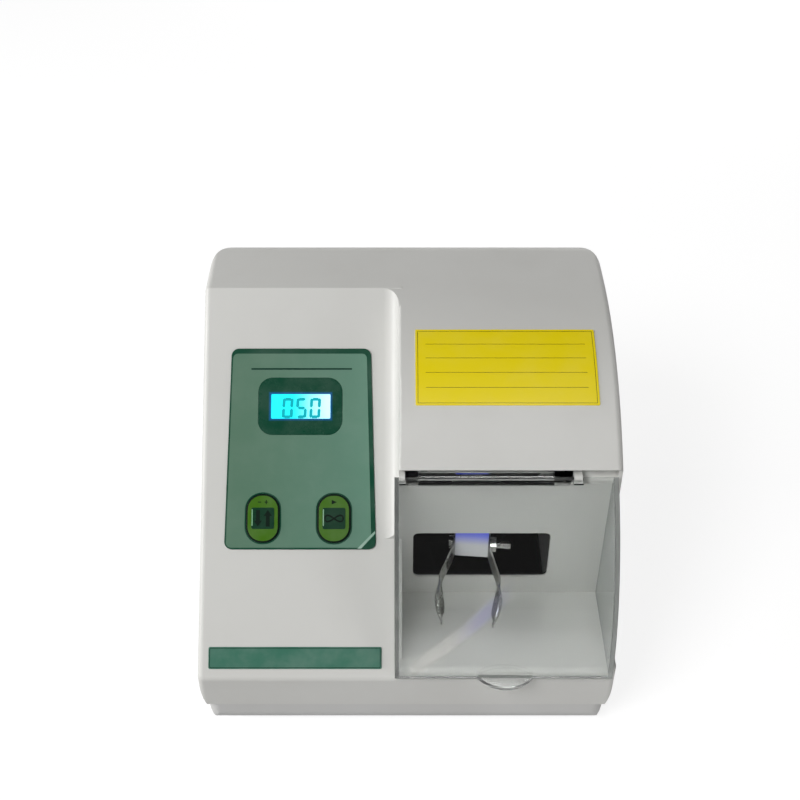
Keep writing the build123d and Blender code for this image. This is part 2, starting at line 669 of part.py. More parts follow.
def inlet_screws():
    """Two screws that hold the inlet."""
    x, z = INLET_AT
    screws = []
    for s in (-1, 1):
        screw = rod_y(3.0, BACK_Y + 2, BACK_Y + 3.6, x + s * 20, z)
        screw += rod_y(1.4, BACK_Y - 9, BACK_Y + 2.5, x + s * 20, z)
        for w, h in ((3.6, 0.8), (0.8, 3.6)):
            screw -= box_between(
                (x + s * 20 - w / 2, x + s * 20 + w / 2), (BACK_Y + 2.8, BACK_Y + 4), (z - h / 2, z + h / 2)
            )
        screws.append(screw)
    return screws


def rocker_frame():
    """Frame of the power switch."""
    x, z = ROCKER_AT
    frame = box_between((x - 11, x + 11), (BACK_Y, BACK_Y + 1.8), (z - 8, z + 8))
    frame = fillet(frame.edges().filter_by(Axis.Y), 1.5)
    frame += box_between((x - 9.4, x + 9.4), (BACK_Y - 16, BACK_Y + 1), (z - 6.3, z + 6.3))
    frame -= box_between((x - 8.2, x + 8.2), (BACK_Y - 9, BACK_Y + 3), (z - 5.2, z + 5.2))
    for dx in (-5.0, 5.0):
        frame += box_between((x + dx - 0.4, x + dx + 0.4), (BACK_Y - 24, BACK_Y - 15), (z - 2.4, z + 2.4))
    return frame - rod_z(1.05, z - 7, z + 7, x, ROCKER_AXIS_Y)


def power_rocker():
    """Rocker of the power switch, tipped to its off side, on its own stub pivots."""
    x, z = ROCKER_AT
    lines = Polyline((-7.4, 4.0), (-7.4, -0.6), (7.4, -0.6), (7.4, 4.0), (0, 2.4), close=True)
    face = Plane.XY.offset(z - 4.9) * Pos(x, ROCKER_AXIS_Y) * make_face(lines)
    rocker = extrude(face, 9.8, dir=(0, 0, 1))
    rocker += rod_z(1.0, z - 6.1, z + 6.1, x, ROCKER_AXIS_Y)
    return rocker.rotate(Axis((x, ROCKER_AXIS_Y, z), (0, 0, 1)), ROCKER_TIP)


def power_board():
    """Power circuit board on the pan."""
    board = box_between(POWER_X, POWER_Y, (POWER_Z, POWER_Z + BOARD_T))
    for x in (POWER_X[0] + 14, POWER_X[1] - 5):
        for y in (POWER_Y[0] + 5, POWER_Y[1] - 5):
            board += rod_z(2.5, PAN_Z + FLOOR_T, POWER_Z, x, y)
    return board


def power_parts():
    """Relay, capacitor, heat sink and terminal block of the power board."""
    top = POWER_Z + BOARD_T
    x, y = POWER_X[0], POWER_Y[0]
    parts = [
        box_between((x + 48, x + 67), (y + 6, y + 21), (top, top + 15)),
        box_between((x + 70, x + 98), (y + 4, y + 7), (top, top + 24)),
        box_between((x + 6, x + 36), (y + 29, y + 37), (top, top + 11)),
    ]
    parts.append(rod_z(8.0, top, top + 22, x + 82, y + 20))
    return parts


def transformer():
    """Small mains transformer: laminated core and bobbin."""
    top = POWER_Z + BOARD_T
    x, y = POWER_X[0] + 24, POWER_Y[0] + 12
    core = box_between((x - 18, x + 18), (y - 7, y + 7), (top, top + 26))
    return core + box_between((x - 10, x + 10), (y - 11.5, y + 11.5), (top + 4, top + 22))


# ---- motor on its sprung plate ----
def motor_plate():
    """Steel plate that carries the motor, with spring studs below and two threaded lock holes."""
    y0, y1 = AXIS_Y - 36, AXIS_Y + 36
    plate = box_between(PLATE_X, (y0, y1), (PLATE_Z, PLATE_Z + PLATE_T))
    plate = fillet(plate.edges().filter_by(Axis.Z), 5.0)
    for x, y in SPRING_AT:
        plate += rod_z(STUD_R, PLATE_Z - 5, PLATE_Z + 0.5, x, y)
    for x, y in LOCK_AT:
        plate += rod_z(4.0, PLATE_Z - 4, PLATE_Z, x, y)
        plate -= rod_z(LOCK_R, PLATE_Z - 5, PLATE_Z + PLATE_T + 1, x, y)
    for x in CLAMP_X:
        for s in (-1, 1):
            plate -= rod_z(1.5, PLATE_Z - 1, PLATE_Z + PLATE_T + 1, x, AXIS_Y + s * 22)
    return plate


def motor_can():
    """Motor can with cooling slots."""
    can = rod_x(CAN_R, *CAN_X, AXIS_Y, AXIS_Z)
    can -= rod_x(CAN_R - CAN_T, CAN_X[0] - 1, CAN_X[1] + 1, AXIS_Y, AXIS_Z)
    for x in (CAN_X[0] + 3, CAN_X[1] - 11):
        for angle in (30, 150, 210, 330):
            slot = Pos(x + 4, AXIS_Y, AXIS_Z) * Rot(angle, 0, 0) * Pos(0, 0, CAN_R) * Box(6, 12, 8)
            can -= slot
    return can


def end_bell(x_in, x_out):
    """End bell with a bearing seat; x_in is the face on the can."""
    s = 1 if x_out > x_in else -1
    bell = rod_x(CAN_R, *sorted((x_in, x_in + s * 3)), AXIS_Y, AXIS_Z)
    bell += rod_x(CAN_R - CAN_T - 0.1, *sorted((x_in - s * 3, x_in)), AXIS_Y, AXIS_Z)
    bell += rod_x(14.0, *sorted((x_in, x_out)), AXIS_Y, AXIS_Z)
    bell -= rod_x(CAN_R - 4.0, *sorted((x_in - s * 4, x_in - s * 0.5)), AXIS_Y, AXIS_Z)
    bell -= rod_x(MOTOR_BEARING_R, *sorted((x_out - s * 7, x_out + s)), AXIS_Y, AXIS_Z)
    bell -= rod_x(6.0, *sorted((x_in - s * 5, x_out + s)), AXIS_Y, AXIS_Z)
    for angle in range(0, 360, 60):
        bell -= Pos(x_in + s * 1.5, AXIS_Y, AXIS_Z) * Rot(angle, 0, 0) * Pos(0, 0, 18.5) * Box(9, 9, 4)
    return bell


def brush_caps():
    """Two brush holders that stand out of the brush end bell."""
    x = CAN_X[0] - 7.5
    caps = []
    for s in (-1, 1):
        low, high = sorted((AXIS_Y + s * 14.0, AXIS_Y + s * 24.0))
        caps.append(rod_y(3.6, low, high, x, AXIS_Z))
    return caps


def motor_bearings():
    """Ball bearings of the motor."""
    rings = []
    for x0 in (CAN_X[1] + 1, CAN_X[0] - 8):
        ring = rod_x(MOTOR_BEARING_R, x0, x0 + 7, AXIS_Y, AXIS_Z)
        for face in (x0, x0 + 7):
            groove = rod_x(9.2, face - 0.5, face + 0.5, AXIS_Y, AXIS_Z)
            ring -= groove - rod_x(5.8, face - 1, face + 1, AXIS_Y, AXIS_Z)
        rings.append(ring - rod_x(SHAFT_R + RUN_FIT, x0 - 1, x0 + 8, AXIS_Y, AXIS_Z))
    return rings


def field_magnets():
    """Two magnet shells inside the can."""
    low, high = CAN_X[0] + 16, CAN_X[1] - 14
    ring = rod_x(CAN_R - CAN_T, low, high, AXIS_Y, AXIS_Z)
    ring -= rod_x(19.0, low - 1, high + 1, AXIS_Y, AXIS_Z)
    ring -= box_between((low - 1, high + 1), (AXIS_Y - 8, AXIS_Y + 8), (AXIS_Z - 30, AXIS_Z + 30))
    return ring.solids()


def motor_clamps():
    """Two saddle clamps that hold the can on the plate."""
    clamps = []
    top = PLATE_Z + PLATE_T
    for x in CLAMP_X:
        clamp = rod_x(CAN_R + 2, x - 5, x + 5, AXIS_Y, AXIS_Z)
        clamp += box_between((x - 5, x + 5), (AXIS_Y - 27, AXIS_Y + 27), (top, top + 4))
        clamp += box_between((x - 5, x + 5), (AXIS_Y - 16, AXIS_Y + 16), (top, AXIS_Z - 15))
        clamp -= rod_x(CAN_R, x - 6, x + 6, AXIS_Y, AXIS_Z)
        for s in (-1, 1):
            clamp -= rod_z(1.5, top - 1, top + 5, x, AXIS_Y + s * 22)
        clamps.append(clamp)
    return clamps


def clamp_screws():
    """Screws of the saddle clamps."""
    top = PLATE_Z + PLATE_T + 4
    screws = []
    for x in CLAMP_X:
        for s in (-1, 1):
            y = AXIS_Y + s * 22
            screw = rod_z(2.8, top, top + 2.2, x, y) + rod_z(1.45, PLATE_Z - 2, top, x, y)
            screw -= Pos(x, y, top + 2) * extrude(RegularPolygon(1.4, 6), 1.2, both=True)
            screws.append(screw)
    return screws


def rotor_shaft():
    """Steel shaft through motor, fan and hub."""
    shaft = rod_x(SHAFT_R, SHAFT_X[0], SHAFT_X[1], AXIS_Y, AXIS_Z)
    ends = shaft.edges().filter_by(GeomType.CIRCLE)
    return chamfer(ends, 0.5)


def armature():
    """Laminated armature with winding heads and commutator."""
    low, high = CAN_X[0] + 18, CAN_X[1] - 16
    core = rod_x(18.2, low, high, AXIS_Y, AXIS_Z)
    for angle in range(0, 360, 30):
        core -= Pos((low + high) / 2, AXIS_Y, AXIS_Z) * Rot(angle, 0, 0) * Pos(0, 0, 17) * Box(80, 1.8, 6)
    core += rod_x(14.0, low - 5, high + 5, AXIS_Y, AXIS_Z)
    core += rod_x(8.5, CAN_X[0] + 1, low, AXIS_Y, AXIS_Z)
    return core - rod_x(SHAFT_R, low - 40, high + 40, AXIS_Y, AXIS_Z)


def cooling_fan():
    """Radial fan on the brush end of the shaft."""
    x0, x1 = SHAFT_X[0] + 0.5, SHAFT_X[0] + 8.5
    fan = rod_x(21.0, x0, x0 + 1.4, AXIS_Y, AXIS_Z) + rod_x(7.5, x0, x1, AXIS_Y, AXIS_Z)
    for angle in range(0, 360, 40):
        blade = Pos(0, 0, 13.5) * Box(x1 - x0, 1.4, 14)
        fan += Pos((x0 + x1) / 2, AXIS_Y, AXIS_Z) * Rot(angle, 0, 0) * blade
    return fan - rod_x(SHAFT_R, x0 - 1, x1 + 1, AXIS_Y, AXIS_Z)


def spring_at(x, y, z0, z1, coil_r, wire_r, turns):
    """Coil spring between two heights."""
    pitch = (z1 - z0 - 2 * wire_r) / turns
    path = Helix(pitch, z1 - z0 - 2 * wire_r, coil_r - wire_r)
    start = Plane(origin=path @ 0, z_dir=path % 0)
    return Pos(x, y, z0 + wire_r) * sweep(start * Circle(wire_r), path=path, is_frenet=True)


def suspension_springs():
    """Four springs under the motor plate."""
    return [spring_at(x, y, PAN_Z + FLOOR_T, PLATE_Z, SPRING_R, WIRE_R, 7) for x, y in SPRING_AT]


def bump_stops():
    """Rubber stops on the pan under the motor plate."""
    low, high = PAN_Z + FLOOR_T, PLATE_Z - BUMP_GAP
    stops = [rod_z(5.0, low, high, x, y) for x, y in BUMP_AT]
    return [chamfer(stop.faces().sort_by(Axis.Z)[-1].edges(), 1.2) for stop in stops]


# ---- wobble drive and clip, laid out forward of the motor axis and then leaned by TILT ----
LEAN = Pos(HUB_X, AXIS_Y, AXIS_Z) * Rot(0, 0, -TILT)


def crank_hub():
    """Hub on the shaft: a straight collar and a tilted journal."""
    hub = LEAN * rod_x(JOURNAL_R, -13.2, 13.2, 0, 0)
    hub += LEAN * rod_x(9.5, -15.2, -13.0, 0, 0)
    hub += rod_x(10.5, HUB_X - 26, HUB_X - 14.5, AXIS_Y, AXIS_Z)
    hub -= rod_x(SHAFT_R, HUB_X - 30, HUB_X + 20, AXIS_Y, AXIS_Z)
    return hub - rod_z(1.7, AXIS_Z, AXIS_Z + 20, HUB_X - 21, AXIS_Y)


def hub_screws():
    """Set screw of the hub, and the screw and washer that keep it on the shaft's end."""
    x = HUB_X - 21
    set_screw = rod_z(1.7, AXIS_Z + SHAFT_R, AXIS_Z + 10.2, x, AXIS_Y)
    set_screw -= Pos(x, AXIS_Y, AXIS_Z + 10) * extrude(RegularPolygon(0.9, 6), 2, both=True)
    end = rod_x(6.0, SHAFT_X[1], SHAFT_X[1] + 1.2, AXIS_Y, AXIS_Z)
    end += rod_x(3.4, SHAFT_X[1] + 1, SHAFT_X[1] + 4, AXIS_Y, AXIS_Z)
    end -= Pos(SHAFT_X[1] + 3, AXIS_Y, AXIS_Z) * Rot(0, 90, 0) * extrude(RegularPolygon(1.6, 6), 2)
    return [set_screw, end]


def wobble_bearings():
    """Two ball bearings between journal and sleeve."""
    rings = []
    for x0 in (-12.8, 12.8 - BEARING_W):
        ring = rod_x(BEARING_R, x0, x0 + BEARING_W, 0, 0)
        for face in (x0, x0 + BEARING_W):
            groove = rod_x(12.2, face - 0.5, face + 0.5, 0, 0)
            ring -= groove - rod_x(9.4, face - 1, face + 1, 0, 0)
        rings.append(LEAN * (ring - rod_x(JOURNAL_R + RUN_FIT, x0 - 1, x0 + BEARING_W + 1, 0, 0)))
    return rings


def wobble_sleeve():
    """Aluminium sleeve over the bearings, with the arm to the clip and a lug for its spring."""
    half = SLEEVE_L / 2
    sleeve = rod_x(SLEEVE_R, -half, half, 0, 0)
    tongue = BLOCK_L[1] - 3
    arm = Polyline(
        (-10, -12), (-4.5, -30), (-4.5, -tongue), (4.5, -tongue), (4.5, -30), (10, -12), close=True
    )
    sleeve += extrude(make_face(arm), 6.0, both=True)
    sleeve += Pos(0, 19.5, 0) * Box(6, 9, 4)
    sleeve -= rod_z(1.2, -5, 5, 0, 21.5)
    sleeve -= rod_x(JOURNAL_R + 2.5, -half - 1, half + 1, 0, 0)
    for x0, x1 in ((-half - 1, -12.8 + BEARING_W), (12.8 - BEARING_W, half + 1)):
        sleeve -= rod_x(BEARING_R, x0, x1, 0, 0)
    sleeve -= rod_x(BOLT_R, -20, 20, -BOLT_L, BOLT_Z)
    return LEAN * sleeve


def clip_block():
    """White plastic block on the arm's tongue."""
    block = box_between((-BLOCK_W / 2, BLOCK_W / 2), (-BLOCK_L[1], -BLOCK_L[0]), BLOCK_Z)
    block = fillet(block.edges().filter_by(Axis.X), 2.0)
    block -= box_between((-4.5, 4.5), (-BLOCK_L[1] + 3, 0), (-6.0, 6.0))
    return LEAN * (block - rod_x(BOLT_R, -20, 20, -BOLT_L, BOLT_Z))


def prong(side):
    """Sprung steel prong: a bent strip that ends in a leaf-shaped cup."""
    root = BLOCK_W / 2 + PRONG_T / 2
    bends = [(root, -40.0), (root, -52.0), (15.0, -69.5), (14.4, -73.0)]
    strip = FilletPolyline(*bends, radius=2.0)
    cup = ThreePointArc(bends[-1], (16.2, -83.0), (12.4, -94.5))
    plan = trace(strip + cup, PRONG_T)
    bent = extrude(plan, 20.0, both=True)
    upper = Polyline((-39.0, 8.0), (-52.0, 7.0), (-64.0, 2.6), (-72.5, 0.6))
    upper += ThreePointArc((-72.5, 0.6), (-83.0, 3.0), (-95.5, -4.4))
    lower = ThreePointArc((-95.5, -5.8), (-83.0, -10.4), (-72.5, -5.4))
    lower += Polyline((-72.5, -5.4), (-64.0, -5.0), (-52.0, -3.4), (-39.0, -4.0))
    tip, root_end = Line((-95.5, -4.4), (-95.5, -5.8)), Line((-39.0, -4.0), (-39.0, 8.0))
    edge = make_face(upper + tip + lower + root_end)
    blank = extrude(Plane.YZ * edge, 30, dir=(1, 0, 0))
    piece = (bent & blank) - rod_x(BOLT_R, -1, 30, -BOLT_L, BOLT_Z)
    if side < 0:
        piece = mirror(piece, Plane.YZ)
    return LEAN * piece


def clip_bolt():
    """Cross bolt through prongs, block and arm."""
    reach = BLOCK_W / 2 + PRONG_T
    bolt = rod_x(BOLT_R, -reach - 1, 20.0, -BOLT_L, BOLT_Z)
    head = rod_x(3.4, -reach - 2.4, -reach, -BOLT_L, BOLT_Z)
    head -= Pos(-reach - 2.2, -BOLT_L, BOLT_Z) * Box(1.6, 8, 1)
    return LEAN * (bolt + head)


def clip_nut():
    """Nut of the cross bolt."""
    reach = BLOCK_W / 2 + PRONG_T
    nut = Pos(reach, -BOLT_L, BOLT_Z) * Rot(0, 90, 0) * extrude(RegularPolygon(3.9, 6), 3.2)
    return LEAN * (nut - rod_x(BOLT_R, 0, 20, -BOLT_L, BOLT_Z))


def steady_spring():
    """Spring from the sleeve's lug to the plate, which stops the sleeve from turning with the shaft."""
    x, y = HUB_X + 21.5 * sin(radians(TILT)), AXIS_Y + 21.5 * cos(radians(TILT))
    low = PLATE_Z + PLATE_T
    high = AXIS_Z - 2.0
    return spring_at(x, y, low, high, 4.0, 0.6, 9)


def hinge_pin():
    """Steel pin that the cover turns on."""
    return rod_x(PIN_R, *PIN_X, *HINGE)


def case_screws():
    """Screws that join pan and shell."""
    return [pan_screw(x, y, PAN_Z + 8.0, 19.0, shank_r=1.3) for x, y in CASE_AT]


def foot_screws():
    """Screws of the rubber feet."""
    return [pan_screw(x, y, 2.4, 8.0, 3.2, 1.6, 1.3) for x, y in FOOT_AT]


def main():
    os.makedirs("parts", exist_ok=True)
    save("upper_shell", upper_shell())
    save("base_pan", base_pan())
    save("rubber_feet", *rubber_feet())
    save("foot_screws", *foot_screws())
    save("case_screws", *case_screws())
    save("clear_cover", clear_cover())
    save("hinge_pin", hinge_pin())
    save("keypad_film", keypad_film())
    save("display_bezel", display_bezel())
    save("display_lens", display_lens())
    save("display_module", display_module())
    save("set_key", key("set_key"))
    save("start_key", key("start_key"))
    save("control_board", control_board())
    save("key_switches", *key_switches())
    save("board_parts", *board_parts())
    save("board_screws", *board_screws())
    save("trim_strip", trim_strip())
    save("hood_label", hood_label())
    save("power_inlet", power_inlet())
    save("inlet_pins", *inlet_pins())
    save("fuse_drawer", fuse_drawer())
    save("inlet_screws", *inlet_screws())
    save("rocker_frame", rocker_frame())
    save("power_rocker", power_rocker())
    save("power_board", power_board())
    save("power_parts", *power_parts())
    save("transformer", transformer())
    save("motor_plate", motor_plate())
    save("motor_can", motor_can())
    save("drive_end_bell", end_bell(CAN_X[1], CAN_X[1] + 8))
    save("brush_end_bell", end_bell(CAN_X[0], CAN_X[0] - 8))
    save("brush_caps", *brush_caps())
    save("motor_bearings", *motor_bearings())
    save("field_magnets", *field_magnets())
    save("motor_clamps", *motor_clamps())
    save("clamp_screws", *clamp_screws())
    save("suspension_springs", *suspension_springs())
    save("bump_stops", *bump_stops())
    save("rotor_shaft", rotor_shaft())
    save("armature", armature())
    save("cooling_fan", cooling_fan())
    save("crank_hub", crank_hub())
    save("hub_screws", *hub_screws())
    save("wobble_bearings", *wobble_bearings())
    save("wobble_sleeve", wobble_sleeve())
    save("steady_spring", steady_spring())
    save("clip_block", clip_block())
    save("left_prong", prong(-1))
    save("right_prong", prong(1))
    save("clip_bolt", clip_bolt())
    save("clip_nut", clip_nut())


if __name__ == "__main__":
    main()
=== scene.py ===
from functools import partialmethod
from math import asin, atan2, cos, pi, radians, sin

import bmesh
import bpy
from bpy.props import FloatProperty, FloatVectorProperty, IntProperty, PointerProperty
from mathutils import Matrix, Vector


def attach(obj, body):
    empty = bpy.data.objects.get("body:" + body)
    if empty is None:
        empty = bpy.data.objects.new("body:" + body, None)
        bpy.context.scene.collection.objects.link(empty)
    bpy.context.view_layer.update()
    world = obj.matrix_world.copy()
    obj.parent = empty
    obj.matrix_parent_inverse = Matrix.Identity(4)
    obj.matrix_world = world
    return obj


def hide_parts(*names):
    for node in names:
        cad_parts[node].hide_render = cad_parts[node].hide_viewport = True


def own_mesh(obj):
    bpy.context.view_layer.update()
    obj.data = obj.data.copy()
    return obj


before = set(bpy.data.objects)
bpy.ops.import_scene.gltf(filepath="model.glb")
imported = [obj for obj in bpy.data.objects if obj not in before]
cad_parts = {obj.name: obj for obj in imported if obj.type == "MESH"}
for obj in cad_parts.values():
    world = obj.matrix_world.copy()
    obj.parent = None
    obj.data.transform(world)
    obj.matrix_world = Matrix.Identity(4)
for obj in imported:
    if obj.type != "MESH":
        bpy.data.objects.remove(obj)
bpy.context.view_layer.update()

bl_info = {
    "name": "Capsule mixer",
    "version": (1, 0, 0),
    "blender": (4, 5, 0),
    "location": "View3D > Sidebar > Mixer",
    "description": "Finishes, prints and stage of a bench-top capsule mixer",
    "category": "Object",
}

MM = 0.001

# Frame of the sloping panel: x across, y up the slope from the lip, z out of the surface.
LIP_Y = -0.0935
LIP_Z = 0.042
PANEL_RUN = 0.145
PANEL_RISE = 0.1355
PANEL_ANGLE = atan2(PANEL_RISE, PANEL_RUN)
PANEL = Matrix.Translation((0, LIP_Y, LIP_Z)) @ Matrix.Rotation(PANEL_ANGLE, 4, "X")
HOOD_R = 0.160
HOOD_Y = LIP_Y + 0.1528
HOOD_Z = LIP_Z + PANEL_RISE - HOOD_R
HOOD_LEFT = -0.0035
WALL_Y = LIP_Y + 0.050    # front of the chamber's back wall
BACK_Y = LIP_Y + 0.195
HALF_W = 0.105
CORNER_R = 0.029          # upright corners at the back
BACK_TOP_R = 0.016
TUCK = 3.4 * MM           # how far the sides draw in towards the parting line
TUCK_Z = (18 * MM, 34 * MM)
INSIDE = 0.0012           # depth in the wall from which the painted shade inside counts
HINGE = (-44.54 * MM, 131.95 * MM)
HINGE_WALL = 2.4 * MM     # extra wall behind the hinge
FILM_TOP = 0.8 * MM
INK = 0.04 * MM           # thickness of a printed layer


# ---- sizes and colours a user would change ----
def colour_setting(name, description, colour):
    """Colour that a user can set."""
    return FloatVectorProperty(
        name=name, description=description, subtype="COLOR", size=3, min=0, max=1, default=colour,
    )


def length_setting(name, description, length):
    """Length that a user can set."""
    return FloatProperty(name=name, description=description, default=length, unit="LENGTH")


class MixerFinish(bpy.types.PropertyGroup):
    """Colours and grain of the mixer."""

    housing_colour: colour_setting("Housing", "Off-white of the upper housing", (0.60, 0.598, 0.575))
    pan_colour: colour_setting("Pan", "Grey of the lower pan", (0.56, 0.558, 0.548))
    field_colour: colour_setting("Keypad field", "Sage green of the keypad", (0.092, 0.180, 0.122))
    border_colour: colour_setting(
        "Keypad border", "Dark green of border and bezel", (0.0015, 0.052, 0.026))
    key_colour: colour_setting("Keys", "Yellow-green of the key pads", (0.046, 0.138, 0.003))
    lit_colour: colour_setting("Display", "Light of the display", (0.012, 0.80, 0.84))
    label_colour: colour_setting("Label", "Yellow of the write-on label", (0.80, 0.645, 0.002))
    strip_colour: colour_setting("Strip", "Green of the strip at the panel's foot", (0.042, 0.152, 0.104))
    grain_scale: FloatProperty(
        name="Grain", description="Grain cells of the moulded skin, per metre", default=2600.0, min=100.0,
    )


class MixerSizes(bpy.types.PropertyGroup):
    """Sizes of the prints and of the stage."""

    border_side: length_setting("Thin border", "Border left and below the keypad field", 0.9 * MM)
    border_top: length_setting("Thick border", "Border right and above the keypad field", 2.7 * MM)
    digit_height: length_setting("Digit height", "Height of the display's digits", 10.6 * MM)
    label_rules: IntProperty(
        name="Label lines", description="Ruled lines on the write-on label", default=4, min=0,
    )
    lens: FloatProperty(
        name="Lens", description="Focal length of the camera in millimetres", default=54.0, min=1.0,
    )
    camera_pitch: FloatProperty(
        name="Camera pitch", description="How far the camera looks down", subtype="ANGLE",
        default=radians(40),
    )


# ---- shader helpers ----
def put(tree, value, socket):
    """Link a socket or a wire, or set a plain value."""
    value = getattr(value, "socket", value)
    if isinstance(value, bpy.types.NodeSocket):
        tree.links.new(value, socket)
    else:
        socket.default_value = value


class Wire:
    """Value in a shader tree that takes plain arithmetic; each operation adds a node."""

    def __init__(self, tree, socket):
        self.tree, self.socket = tree, socket

    def math(self, operation, other=0.0):
        """Math node from this value and another."""
        return math_node(self.tree, operation, self, other)

    __add__ = partialmethod(math, "ADD")
    __sub__ = partialmethod(math, "SUBTRACT")
    __mul__ = partialmethod(math, "MULTIPLY")
    __lt__ = partialmethod(math, "LESS_THAN")
    __gt__ = partialmethod(math, "GREATER_THAN")
    __abs__ = partialmethod(math, "ABSOLUTE")
    most = partialmethod(math, "MAXIMUM")

    def __rsub__(self, other):
        return math_node(self.tree, "SUBTRACT", other, self)

    def clamped(self):
        """The same value kept between 0 and 1."""
        self.socket.node.use_clamp = True
        return self

    def ramp(self, low, high):
        """Smooth 0 to 1 between two values."""
        node = self.tree.nodes.new("ShaderNodeMapRange")
        node.interpolation_type = "SMOOTHSTEP"
        put(self.tree, self, node.inputs["Value"])
        node.inputs["From Min"].default_value = low
        node.inputs["From Max"].default_value = high
        return Wire(self.tree, node.outputs["Result"])


def math_node(tree, operation, a, b):
    """Math node; a and b are numbers or wires."""
    node = tree.nodes.new("ShaderNodeMath")
    node.operation = operation
    put(tree, a, node.inputs[0])
    put(tree, b, node.inputs[1])
    return Wire(tree, node.outputs[0])


def noise(tree, vector, scale, detail=2.0, roughness=0.5):
    """Noise texture; scale is a number or a wire."""
    node = tree.nodes.new("ShaderNodeTexNoise")
    feed(node, {"Detail": detail, "Roughness": roughness, "Vector": vector, "Scale": scale})
    return Wire(tree, node.outputs["Fac"])


def mix_colour(tree, factor, a, b):
    """Mix two colours."""
    node = tree.nodes.new("ShaderNodeMix")
    node.data_type = "RGBA"
    feed(node, {"Factor": factor, "A": a, "B": b})
    return Wire(tree, node.outputs["Result"])


def object_space(tree, stretch=(1, 1, 1)):
    """Object coordinates, stretched."""
    place = tree.nodes.new("ShaderNodeTexCoord").outputs["Object"]
    if stretch == (1, 1, 1):
        return place
    mapping = tree.nodes.new("ShaderNodeMapping")
    feed(mapping, {"Scale": stretch, "Vector": place})
    return mapping.outputs["Vector"]


def axes(tree, space="Object"):
    """The three coordinates."""
    split = tree.nodes.new("ShaderNodeSeparateXYZ")
    tree.links.new(tree.nodes.new("ShaderNodeTexCoord").outputs[space], split.inputs[0])
    return [Wire(tree, socket) for socket in split.outputs]


def feed(node, values):
    """Set or link several inputs of a node."""
    for label, value in values.items():
        put(node.id_data, value, node.inputs[label])


def node_group(name, **inputs):
    """New shader group with its inputs as wires; each is given as a number, a vector or a colour."""
    group = bpy.data.node_groups.new(name, "ShaderNodeTree")
    kinds = {1: "NodeSocketFloat", 3: "NodeSocketVector", 4: "NodeSocketColor"}
    for label, value in inputs.items():
        kind = kinds[len(value) if isinstance(value, tuple) else 1]
        group.interface.new_socket(name=label, in_out="INPUT", socket_type=kind).default_value = value
    start = group.nodes.new("NodeGroupInput")
    return group, *(Wire(group, start.outputs[label]) for label in inputs)


def close_group(group, **outputs):
    """Give a shader group its outputs."""
    for label in outputs:
        kind = "NodeSocketColor" if label == "Colour" else "NodeSocketFloat"
        group.interface.new_socket(name=label, in_out="OUTPUT", socket_type=kind)
    feed(group.nodes.new("NodeGroupOutput"), outputs)
    return group


def moulded_group():
    """Skin of moulded plastic: fine spark texture, faint flow mottling, uneven gloss."""
    group, colour, grain, mottle, gloss = node_group(
        "moulded_skin", Colour=(0.8, 0.8, 0.8, 1), Grain=2600.0, Mottle=0.04, Gloss=0.4)
    place = object_space(group)
    spark = noise(group, place, grain, 2.0, 0.6)
    flow = noise(group, place, 14.0, 3.0)
    shade = mix_colour(group, flow.ramp(0.35, 0.75) * mottle, colour, (0.30, 0.29, 0.26, 1))
    rough = (gloss + ((spark - 0.5) * 0.10 + (flow - 0.5) * 0.16)).clamped()
    return close_group(group, Colour=shade, Roughness=rough, Height=spark)


def handled_group():
    """Dust that settles on the surface, and finger smudges that change the gloss."""
    group, colour, rough, dust, smudge = node_group(
        "handled", Colour=(0.8, 0.8, 0.8, 1), Roughness=0.4, Dust=0.1, Smudge=0.1)
    place = object_space(group)
    specks = noise(group, place, 900.0, 4.0, 0.7).ramp(0.62, 0.80)
    veil = noise(group, place, 35.0, 4.0, 0.6).ramp(0.40, 0.75)
    cover = ((specks + veil) * dust).clamped()
    tone = mix_colour(group, cover, colour, (0.42, 0.40, 0.36, 1))
    prints = noise(group, place, 60.0, 5.0, 0.7).ramp(0.50, 0.68)
    return close_group(group, Colour=tone, Roughness=(rough + (prints * smudge + cover)).clamped())


def brushed_group():
    """Fine lines of drawn, brushed or turned metal along the stretched direction."""
    group, colour, vector, lines, rough, tarnish = node_group(
        "brushed", Colour=(0.6, 0.6, 0.6, 1), Vector=(0, 0, 0), Lines=900.0, Roughness=0.3, Tarnish=0.15)
    streaks = noise(group, vector, lines, 3.0, 0.7)
    dull = noise(group, object_space(group), 70.0, 4.0).ramp(0.45, 0.75) * tarnish
    tone = mix_colour(group, dull, colour, (0.16, 0.15, 0.14, 1))
    rough = (rough + ((streaks - 0.5) * 0.25 + dull)).clamped()
    return close_group(group, Colour=tone, Roughness=rough, Height=streaks)


def printed_group():
    """Screen-printed ink: slight mesh pattern, uneven density and pinholes."""
    group, colour, uneven, rough = node_group(
        "printed", Colour=(0.2, 0.4, 0.3, 1), Uneven=0.12, Roughness=0.3)
    place = object_space(group)
    mesh = noise(group, place, 5200.0, 1.0)
    thin = noise(group, place, 45.0, 4.0, 0.6).ramp(0.35, 0.75) * uneven
    tone = mix_colour(group, thin, colour, (0.75, 0.80, 0.76, 1))
    rough = (rough + ((mesh - 0.5) * 0.12 + thin)).clamped()
    return close_group(group, Colour=tone, Roughness=rough, Height=mesh)


EFFECTS = {
    "moulded_skin": moulded_group,
    "handled": handled_group,
    "brushed": brushed_group,
    "printed": printed_group,
}


def effect(tree, name, **values):
    """Place a shared effect in a material, set or link its inputs, and return its outputs."""
    node = tree.nodes.new("ShaderNodeGroup")
    node.node_tree = bpy.data.node_groups.get(name) or EFFECTS[name]()
    feed(node, values)
    return node.outputs


def rgba(colour):
    """Colour with full alpha."""
    return (*colour[:3], 1.0)


def shader_of(material):
    """A material's tree and its Principled shader."""
    return material.node_tree, material.node_tree.nodes["Principled BSDF"]


def blank_material(name):
    """Material with only its Principled shader and output; returns it, its tree and the shader."""
    material = bpy.data.materials.new(name)
    material.use_nodes = True
    return material, *shader_of(material)


